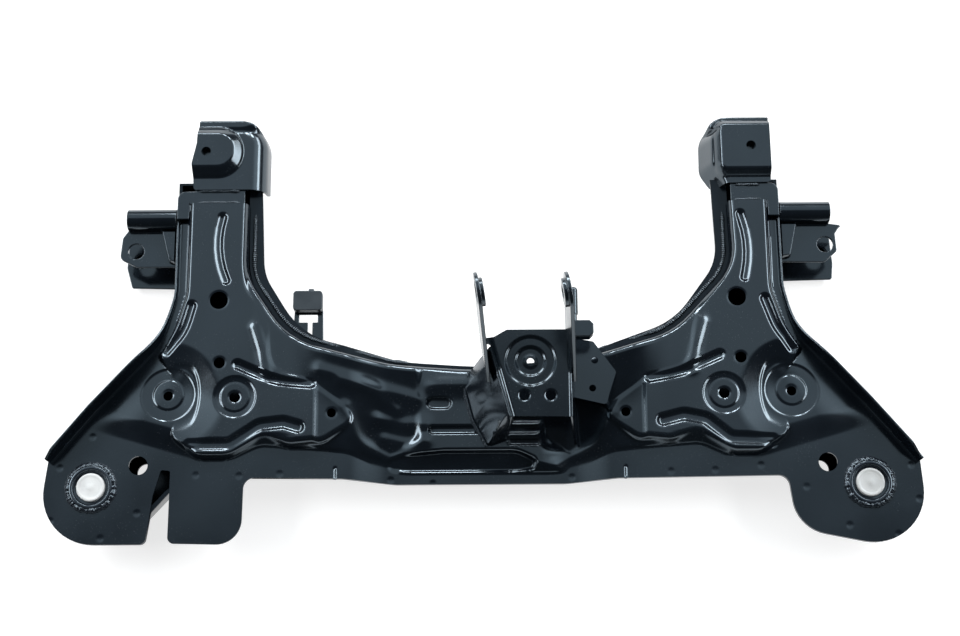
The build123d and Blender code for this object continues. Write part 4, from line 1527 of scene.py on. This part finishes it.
def film_group() -> bpy.types.NodeTree:
    """Group for dip paint: tone and roughness that drift, and an orange-peel height.

    Slow noise drives tone and roughness; quick noise plus a fine grain makes the height.

    Returns:
        The group's tree.
    """
    kit, given, result = new_group(
        "PaintFilm",
        {"Peel Scale": "Float", "Grain Scale": "Float", "Grain Share": "Float",
         "Tone Low": "Color", "Tone High": "Color", "Rough Low": "Float", "Rough High": "Float"},
        {"Color": "Color", "Roughness": "Float", "Height": "Float"},
    )
    inputs = given.outputs
    drift_range = (0.35, 0.68)
    drift = kit.add("ShaderNodeTexNoise", Scale=9.0, Detail=4.0, Roughness=0.6)
    peel = kit.add("ShaderNodeTexNoise", Detail=2.0)
    grain = kit.add("ShaderNodeTexNoise", Detail=3.0, Roughness=0.7)
    kit.textures(drift, peel, grain)
    kit.link(inputs["Peel Scale"], peel.inputs["Scale"])
    kit.link(inputs["Grain Scale"], grain.inputs["Scale"])
    spread = kit.ramp(drift.outputs["Fac"], drift_range, (0.0, 1.0))
    tone = kit.mix("RGBA", spread, inputs["Tone Low"], inputs["Tone High"])
    rough = kit.mix("FLOAT", spread, inputs["Rough Low"], inputs["Rough High"])
    height = kit.mix("FLOAT", inputs["Grain Share"], peel.outputs["Fac"], grain.outputs["Fac"])
    kit.link(tone, result.inputs["Color"])
    kit.link(rough, result.inputs["Roughness"])
    kit.link(height, result.inputs["Height"])
    return kit.tree


def speckle_group() -> bpy.types.NodeTree:
    """Group for dust and spatter: a mask of small round specks that comes and goes in patches.

    Returns:
        The group's tree.
    """
    kit, given, result = new_group(
        "Speckle", {"Scale": "Float", "Size": "Float", "Amount": "Float"}, {"Mask": "Float"})
    patch_level = 0.52
    cells = kit.add("ShaderNodeTexVoronoi", Randomness=1.0)
    patch = kit.add("ShaderNodeTexNoise", Scale=14.0, Detail=2.0)
    kit.textures(cells, patch)
    kit.link(given.outputs["Scale"], cells.inputs["Scale"])
    dots = kit.maths("LESS_THAN", cells.outputs["Distance"], given.outputs["Size"])
    there = kit.maths("GREATER_THAN", patch.outputs["Fac"], patch_level)
    both = kit.maths("MULTIPLY", dots, there)
    kit.link(kit.maths("MULTIPLY", both, given.outputs["Amount"]), result.inputs["Mask"])
    return kit.tree


class Surface(Enum):
    """How a finish breaks up at small scale."""

    SMOOTH = "smooth"
    LUMPY = "lumpy"


@dataclass(frozen=True)
class Finish:
    """One painted, moulded or rubber finish."""

    name: str
    low: Triple
    high: Triple
    rough: Span
    surface: Surface = Surface.SMOOTH
    peel_scale: float = 420.0
    grain_scale: float = 2600.0
    grain_share: float = 0.25
    lump_scale: float = 240.0
    bump: float = 0.05
    bump_depth: float = 0.0004
    specks: float = 0.0
    speck_scale: float = 380.0
    speck_size: float = 0.12
    speck_tone: Triple = (0.35, 0.37, 0.4)
    ior: float = 1.8
    tint: Triple = (0.72, 0.88, 1.0)

    def make(self, film: bpy.types.NodeTree, speckle: bpy.types.NodeTree) -> bpy.types.Material:
        """Build the material.

        Args:
            film: The paint film group.
            speckle: The speck group.

        Returns:
            The material.
        """
        material = bpy.data.materials.new(self.name)
        material.use_nodes = True
        material.node_tree.nodes.clear()
        kit = NodeMaker(material.node_tree)
        out = kit.add("ShaderNodeOutputMaterial")
        shader = kit.add("ShaderNodeBsdfPrincipled", IOR=self.ior, Specular_Tint=(*self.tint, 1))
        kit.link(shader.outputs[0], out.inputs["Surface"])
        coat = kit.add("ShaderNodeGroup", node_tree=film, Peel_Scale=self.peel_scale,
                       Grain_Scale=self.grain_scale, Grain_Share=self.grain_share,
                       Tone_Low=(*self.low, 1), Tone_High=(*self.high, 1),
                       Rough_Low=self.rough[0], Rough_High=self.rough[1])
        dots = kit.add("ShaderNodeGroup", node_tree=speckle, Scale=self.speck_scale,
                       Size=self.speck_size, Amount=self.specks)
        colour = kit.add("ShaderNodeMix", data_type="RGBA")
        kit.link(dots.outputs["Mask"], colour.inputs["Factor"])
        kit.link(coat.outputs["Color"], colour.inputs[6])
        colour.inputs[7].default_value = (*self.speck_tone, 1)
        kit.link(colour.outputs[2], shader.inputs["Base Color"])
        kit.link(coat.outputs["Roughness"], shader.inputs["Roughness"])
        bump = kit.add("ShaderNodeBump", Strength=self.bump, Distance=self.bump_depth)
        height = coat.outputs["Height"]
        if self.surface is Surface.LUMPY:
            lumps = kit.add("ShaderNodeTexVoronoi", Scale=self.lump_scale, feature="SMOOTH_F1")
            kit.textures(lumps)
            height = kit.maths("ADD", height, lumps.outputs["Distance"])
        kit.link(height, bump.inputs["Height"])
        kit.link(bump.outputs[0], shader.inputs["Normal"])
        return material


FINISHES: tuple[Finish, ...] = (
    Finish("paint", (0.003, 0.0045, 0.007), (0.005, 0.0075, 0.011), (0.11, 0.19), specks=0.1),
    # A second copy of the paint that reflects far less and is a little rougher. This is painted
    # shade: it darkens the lower shell's rim and the blind seats under the arm bolts' holes.
    Finish("paint_lower", (0.003, 0.0045, 0.007), (0.005, 0.0075, 0.011), (0.14, 0.22), ior=1.42),
    Finish("ear_paint", (0.005, 0.007, 0.01), (0.008, 0.011, 0.015), (0.18, 0.26)),
    Finish("weld", (0.004, 0.006, 0.009), (0.012, 0.015, 0.02), (0.1, 0.25),
           surface=Surface.LUMPY, bump=0.6, bump_depth=0.0008, specks=0.5),
    Finish("sleeve_steel", (0.006, 0.008, 0.012), (0.014, 0.018, 0.024), (0.12, 0.2)),
    Finish("plug_plastic", (0.42, 0.42, 0.41), (0.68, 0.68, 0.67), (0.45, 0.6), bump=0.2),
    Finish("hanger_block", (0.006, 0.006, 0.007), (0.014, 0.014, 0.016), (0.35, 0.5), bump=0.15),
)


def stand(made: bpy.types.Object, right: Array, up: Array, back: Array, place: Array) -> None:
    """Put a camera or lamp in the scene, with its axes and its place in metres.

    Args:
        made: The camera or lamp.
        right: Its x axis.
        up: Its y axis.
        back: Its z axis, which points away from what it faces.
        place: Its place, in metres.
    """
    bpy.context.scene.collection.objects.link(made)
    matrix = Matrix.Identity(4)
    for row in range(3):
        matrix[row] = (right[row], up[row], back[row], place[row])
    made.matrix_world = matrix


@dataclass(frozen=True)
class SoftBox:
    """A rectangular lamp; lengths are in metres."""

    name: str
    place: Triple
    aim: Triple
    size: Span
    radiance: float
    long_side: Triple = (0.0, 1.0, 0.001)

    def build(self) -> None:
        """Add the lamp; its power is radiance times pi times area."""
        data = bpy.data.lights.new(self.name, "AREA")
        data.shape = "RECTANGLE"
        data.size, data.size_y = self.size
        data.energy = self.radiance * math.pi * self.size[0] * self.size[1]
        way = np.array(self.place, float) - np.array(self.aim, float)
        way /= np.linalg.norm(way)
        side = np.cross(self.long_side, way)
        side /= np.linalg.norm(side)
        stand(bpy.data.objects.new(self.name, data), side, np.cross(way, side), way, self.place)


@dataclass
class Studio:
    """Camera, lamps, world and floor."""

    focal: float = 61.5
    sensor: float = 36.0
    tilt: float = 15.4
    roll: float = 0.4
    place: Triple = (0.697, -297.164, 1810.388)
    sky_tint: Triple = (0.86, 0.95, 1.0)
    forward_range: Span = (0.05, 0.27)
    upward_range: Span = (0.15, 0.7)
    ceiling: float = 0.66
    side_range: Span = (0.22, 0.6)
    side_gain: float = 2.4
    horizon_range: Span = (0.02, 0.16)
    horizon: float = 0.6
    dim: float = 0.04
    floor_tone: float = 0.5
    floor_glow: float = 0.75
    floor_half: float = 30.0
    floor_z: float = -0.004
    boxes: tuple[SoftBox, ...] = (
        SoftBox("left_box", (-1.8, 1.1, 1.4), (0, 0.3, 0.05), (0.55, 3.4), 9.0),
        SoftBox("right_box", (1.8, 1.1, 1.4), (0, 0.3, 0.05), (0.55, 3.4), 9.0),
        SoftBox("front_box_0", (-0.62, 2.5, 1.5), (0, 0.2, 0.05), (0.3, 0.5), 26.0),
        SoftBox("front_box_1", (-0.08, 2.5, 1.5), (0, 0.2, 0.05), (0.3, 0.5), 26.0),
        SoftBox("front_box_2", (0.5, 2.5, 1.5), (0, 0.2, 0.05), (0.3, 0.5), 26.0),
    )

    def camera(self) -> None:
        """Stand the camera where the picture was taken from: tilted back and slightly rolled."""
        tilt, roll = math.radians(self.tilt), math.radians(self.roll)
        back = np.array([0, -math.sin(tilt), math.cos(tilt)])
        up = np.array([0, math.cos(tilt), math.sin(tilt)])
        across = np.array([1.0, 0, 0])
        data = bpy.data.cameras.new("camera")
        data.lens = self.focal
        data.sensor_width = self.sensor
        made = bpy.data.objects.new("camera", data)
        stand(made, across * math.cos(roll) - up * math.sin(roll),
              across * math.sin(roll) + up * math.cos(roll), back, np.array(self.place) * MM)
        bpy.context.scene.camera = made

    def world(self) -> None:
        """A dim studio by direction: ceiling bright towards +Y, black behind the camera.

        Brightness is the product of three smooth steps, of the upward, the forward and the
        sideways part of the direction, plus a pale band at the horizon and a dim rest.
        """
        made = bpy.data.worlds.new("world")
        bpy.context.scene.world = made
        made.use_nodes = True
        made.node_tree.nodes.clear()
        kit = NodeMaker(made.node_tree)
        out = kit.add("ShaderNodeOutputWorld")
        glow = kit.add("ShaderNodeBackground", Color=self.sky_tint + (1,))
        where = kit.add("ShaderNodeTexCoord")
        split = kit.add("ShaderNodeSeparateXYZ")
        kit.link(where.outputs["Generated"], split.inputs[0])
        forward = kit.ramp(split.outputs["Y"], self.forward_range, (0.0, 1.0))
        upward = kit.ramp(split.outputs["Z"], self.upward_range, (0.0, 1.0))
        away = kit.maths("ABSOLUTE", split.outputs["X"], 0.0)
        sides = kit.ramp(away, self.side_range, (self.ceiling, self.ceiling * self.side_gain))
        ceiling = kit.maths("MULTIPLY", kit.maths("MULTIPLY", forward, upward), sides)
        low = kit.ramp(split.outputs["Z"], self.horizon_range, (self.horizon, self.dim))
        kit.link(kit.maths("ADD", ceiling, low), glow.inputs["Strength"])
        kit.link(glow.outputs[0], out.inputs["Surface"])

    def floor(self) -> None:
        """A plain pale floor that looks white and still takes the part's shadow."""
        mesh = bpy.data.meshes.new("floor")
        half = self.floor_half
        corners = [(-half, -half, 0), (half, -half, 0), (half, half, 0), (-half, half, 0)]
        mesh.from_pydata(corners, [], [(0, 1, 2, 3)])
        made = bpy.data.objects.new("floor", mesh)
        bpy.context.scene.collection.objects.link(made)
        made.location.z = self.floor_z
        material = bpy.data.materials.new("floor")
        material.use_nodes = True
        material.node_tree.nodes.clear()
        kit = NodeMaker(material.node_tree)
        out = kit.add("ShaderNodeOutputMaterial")
        matt = kit.add("ShaderNodeBsdfDiffuse", Color=(self.floor_tone,) * 3 + (1,))
        glow = kit.add("ShaderNodeEmission", Color=(1, 1, 1, 1))
        path = kit.add("ShaderNodeLightPath")
        total = kit.add("ShaderNodeAddShader")
        seen = kit.maths("MAXIMUM", path.outputs["Is Camera Ray"], path.outputs["Is Glossy Ray"])
        seen = kit.maths("MAXIMUM", seen, path.outputs["Is Transmission Ray"])
        kit.link(kit.maths("MULTIPLY", seen, self.floor_glow), glow.inputs["Strength"])
        kit.link(matt.outputs[0], total.inputs[0])
        kit.link(glow.outputs[0], total.inputs[1])
        kit.link(total.outputs[0], out.inputs["Surface"])
        mesh.materials.append(material)

    def build(self) -> None:
        """Set up the whole studio."""
        self.camera()
        self.world()
        self.floor()
        for box in self.boxes:
            box.build()
        bpy.context.scene.view_settings.view_transform = "Standard"


@dataclass
class Dresser:
    """Puts finishes on the CAD nodes, by the material slots in the record."""

    materials: Materials
    # The lower shell gets the darker-reflecting copy of the paint. This is painted shade on its rim.
    own: dict[str, str] = field(default_factory=lambda: {"lower_shell": "paint_lower"})

    def dress(self) -> None:
        """Give each CAD node the finish of its slot, or its own one."""
        slots = {row["node"]: row["material_slot"] for row in frame["record"]["subparts"]}
        for name, node in frame["nodes"].items():
            finish = self.materials[self.own.get(name, slots.get(name, "paint"))]
            if not node.material_slots:
                node.data.materials.append(finish)
            for place in node.material_slots:
                place.material = finish


@dataclass(frozen=True)
class SheetSet:
    """The upper sheet and its two turned-up edges."""

    short: float = 18.0

    def build(self, materials: Materials) -> None:
        """Make all three; the edges end a little short of the arms' ends.

        Args:
            materials: The finishes by name.
        """
        paint = materials["paint"]
        end = ARM_END_Y - self.short
        left = [LEFT_LOBE[-1]] + LEFT_OUTER + [(ARM_LEFT_X, end, 0)]
        right = [RIGHT_LOBE[0]] + RIGHT_OUTER[::-1] + [(ARM_RIGHT_X, end, 0)]
        UpperSheet().build(paint)
        TurnedEdge("edge_left", left, -1.0, ("turned_edge_left",)).build(paint)
        TurnedEdge("edge_right", right, 1.0, ("turned_edge_right",)).build(paint)


@dataclass(frozen=True)
class SleeveSet:
    """The two rear sleeves with their caps and weld rings, as profiles of (radius, height)."""

    body: Profile = (
        (14.5, 0.6), (15.1, 0.0), (22.7, 0.0), (23.5, 0.8), (23.5, 52.6), (23.1, 53.6),
        (22.4, 54.0), (20.3, 54.0), (19.7, 53.7), (19.3, 53.0), (18.6, 50.3), (18.2, 50.0),
        (15.6, 50.0), (15.5, 49.8), (15.5, 45.0), (14.5, 45.0), (14.5, 0.6),
    )
    cap: Profile = (
        (0.0, 46.0), (15.4, 46.0), (15.4, 52.9), (15.1, 53.5), (14.6, 53.8), (12.8, 54.0),
        (11.9, 53.6), (11.0, 53.5), (4.2, 53.5), (3.0, 53.8), (0.0, 53.9),
    )
    bead: Profile = (
        (23.4, 49.0), (28.6, 49.6), (28.0, 51.0), (26.8, 52.3), (25.2, 53.0), (23.9, 53.2),
        (23.4, 53.0),
    )

    def build(self, materials: Materials) -> None:
        """Turn the three parts at each side.

        Args:
            materials: The finishes by name.
        """
        for side, word in ((-1, "left"), (1, "right")):
            x = side * SLEEVE_X
            TurnedPart("bush_" + word, "sleeve_steel", ("sleeve_" + word,), x,
                       self.body).build(materials["sleeve_steel"])
            TurnedPart("cap_" + word, "plug_plastic", ("plug_" + word,), x,
                       self.cap).build(materials["plug_plastic"])
            TurnedPart("bead_" + word, "weld", ("weld_sleeve_" + word,), x, self.bead, steps=220,
                       ripple=0.16, seed=5 + side).build(materials["weld"])


@dataclass(frozen=True)
class WeldSet:
    """The straight welds: a seam along the bay's wall and two runs across each arm."""

    seam_x: Span = (60.0, 300.0)
    seam_short: float = 9.0
    seam_out: float = 5.4
    seam_sunk: float = 0.1
    seam_size: Span = (5.4, 2.9)
    arm_size: Span = (4.4, 3.0)
    arm_gap: float = 1.2
    arm_points: int = 20
    arms: tuple[tuple[int, str, Span, float], ...] = (
        (-1, "left", (-316.0, -269.0), 337.0), (1, "right", (289.0, 319.0), 341.0),
    )

    def seam(self, side: int, sheet: UpperSheet) -> Array:
        """Path of the seam at one side, from near the middle to the arm's end.

        Args:
            side: -1 for the left, 1 for the right.
            sheet: The upper sheet, whose front wall the seam follows.

        Returns:
            Points, shape (n, 3).
        """
        end = ARM_END_Y - self.seam_short
        wall = sheet.bay_side().line
        away = side * wall[:, 0]
        wall = wall[(away > self.seam_x[0]) & (away < self.seam_x[1]) & (wall[:, 1] < end)]
        wall = wall[np.argsort(side * wall[:, 0])]
        wall = np.concatenate([wall, [[wall[-1, 0], end]]])
        step = np.gradient(wall, axis=0)
        step /= np.maximum(np.linalg.norm(step, axis=1, keepdims=True), TINY)
        flat = wall + np.stack([-step[:, 1], step[:, 0]], 1) * side * self.seam_out
        return np.column_stack([flat, sheet.flange(flat[:, 0]) - SHEET - self.seam_sunk])

    def build(self, materials: Materials) -> None:
        """Lay all six welds.

        Args:
            materials: The finishes by name.
        """
        weld = materials["weld"]
        sheet = UpperSheet()
        for side, word, (x0, x1), mount_y in self.arms:
            WeldRun("seam_" + word, self.seam(side, sheet), *self.seam_size,
                    ("weld_bay_" + word,), seed=11 + side).build(weld)
            spots = np.linspace(x0, x1, self.arm_points)
            for tag, node, y in (("end_weld_", "weld_arm_end_", ARM_END_Y + self.arm_gap),
                                 ("mount_weld_", "weld_front_mount_", mount_y - self.arm_gap)):
                line = np.column_stack([spots, np.full(self.arm_points, y),
                                        np.full(self.arm_points, STUB_TOP)])
                WeldRun(tag + word, line, *self.arm_size, (node + word,),
                        seed=21 + side).build(weld)


@dataclass(frozen=True)
class BracketSet:
    """The centre web, the two front mounting brackets and what lies under their holes."""

    nut: Profile = (
        (0.0, 60.2), (9.5, 60.2), (9.5, 68.2), (5.6, 68.2), (5.6, 61.5), (0.0, 61.5),
    )
    blind: Profile = ((0.0, 0.4), (8.9, 0.4), (8.9, 5.4), (8.0, 5.4), (7.6, 2.0), (0.0, 2.0))
    front: float = 421.8
    seat_bolts: tuple[tuple[str, float, float], ...] = (
        ("left", -308.0, 380.0), ("right", 309.0, 383.0))
    arm_bolts: tuple[tuple[str, float, float], ...] = (
        ("left", -388.0, 271.0), ("right", 392.0, 274.0))

    def web(self, paint: bpy.types.Material) -> None:
        """The centre bracket's web.

        Args:
            paint: The finish.
        """
        corners = [(32, 62, 2), (11, 140, 3), (3, 141, 0), (2, 147, 0), (15, 147, 3),
                   (29, 155, 3), (98, 155, 2), (98, 61, 2)]
        holes = ((54, 121, 4.0), (47, 84, 5.5), (75, 84, 5.5))
        CentreWeb("web_plate", corners=corners, holes=holes).build(paint)

    def left_mount(self, paint: bpy.types.Material) -> None:
        """The left bracket, with a D-shaped seat and a wide round fold.

        Args:
            paint: The finish.
        """
        inner = [(-239, self.front, 32)]
        corners = [(-322, 337, 3), (-324, 366, 6), (-319, 390, 6), (-318, 421, 3), *inner,
                   (-239, 337, 3)]
        walls = [(-500, 200, 0), (-500, self.front, 0), *inner, (-239, 200, 0)]
        seat = [(-400, 350, 0), (-400, 414, 0), (-265, 414, 31), (-265, 350, 31)]
        FrontMount("mount_left", stands_for=("front_mount_left",), corners=corners,
                   walls=walls, seat=seat, holes=((-308, 380, 5.4),),
                   seat_slope=0.72).build(paint)

    def right_mount(self, paint: bpy.types.Material) -> None:
        """The right bracket, with a square seat and a sloping inner flange.

        Args:
            paint: The finish.
        """
        inner = [(255, self.front, 30), (254, 362, 20), (268, 341, 12)]
        corners = [(331, 342, 3), (331, self.front, 3), *inner]
        walls = [(500, 200, 0), (500, self.front, 0), *inner, (268, 200, 0)]
        seat = [(420, 348, 0), (268, 348, 13), (268, 417, 13), (420, 417, 0)]
        FrontMount("mount_right", stands_for=("front_mount_right",), corners=corners,
                   walls=walls, seat=seat, holes=((309, 383, 5.4),), seat_slope=1.15,
                   wall_slope=2.6, wall_fold=7.0, front=421.0).build(paint)

    def build(self, materials: Materials) -> None:
        """Make the three pressings, the seats' nuts and the arm bolts' blind seats.

        Args:
            materials: The finishes by name.
        """
        paint = materials["paint"]
        self.web(paint)
        self.left_mount(paint)
        self.right_mount(paint)
        # The blind seats under the arm bolts' holes take the darker-reflecting copy of the paint.
        # This is painted shade in the holes.
        for tag, outline, spots, finish in (
                ("seat_nut_", self.nut, self.seat_bolts, paint),
                ("bolt_seat_", self.blind, self.arm_bolts, materials["paint_lower"])):
            for word, x, y in spots:
                TurnedPart(tag + word, "paint", (), x, outline, y=y, steps=40).build(finish)


@dataclass(frozen=True)
class PlateSet:
    """The plates that keep the frame's own shape, with their edges rounded."""

    single: tuple[str, ...] = ("stud_block", "hanger", "hanger_cap")
    paired: tuple[str, ...] = (
        "front_stub", "arm_bracket_upper", "arm_bracket_cheek", "arm_bracket_lower", "centre_ear")
    bent: tuple[str, ...] = ("centre_wall_left", "centre_wall_right")

    def build(self, materials: Materials) -> None:
        """Make all plates; the bent ones keep their triangles.

        Args:
            materials: The finishes by name.
        """
        slots = {row["node"]: row["material_slot"] for row in frame["record"]["subparts"]}
        flat = self.single + tuple(f"{name}_{word}" for word in ("left", "right")
                                   for name in self.paired)
        for name in flat + self.bent:
            plate = RoundedPlate(name, slots[name], flatten=name not in self.bent)
            plate.build(materials[slots[name]])


def main() -> None:
    """Build every class in order."""
    logging.basicConfig(level=logging.INFO, format="%(name)s %(message)s")
    film, speckle = film_group(), speckle_group()
    materials = {finish.name: finish.make(film, speckle) for finish in FINISHES}
    Studio().build()
    Dresser(materials).dress()
    for assembly in (SheetSet(), SleeveSet(), WeldSet(), BracketSet(), PlateSet()):
        assembly.build(materials)


if __name__ == "__main__":
    main()
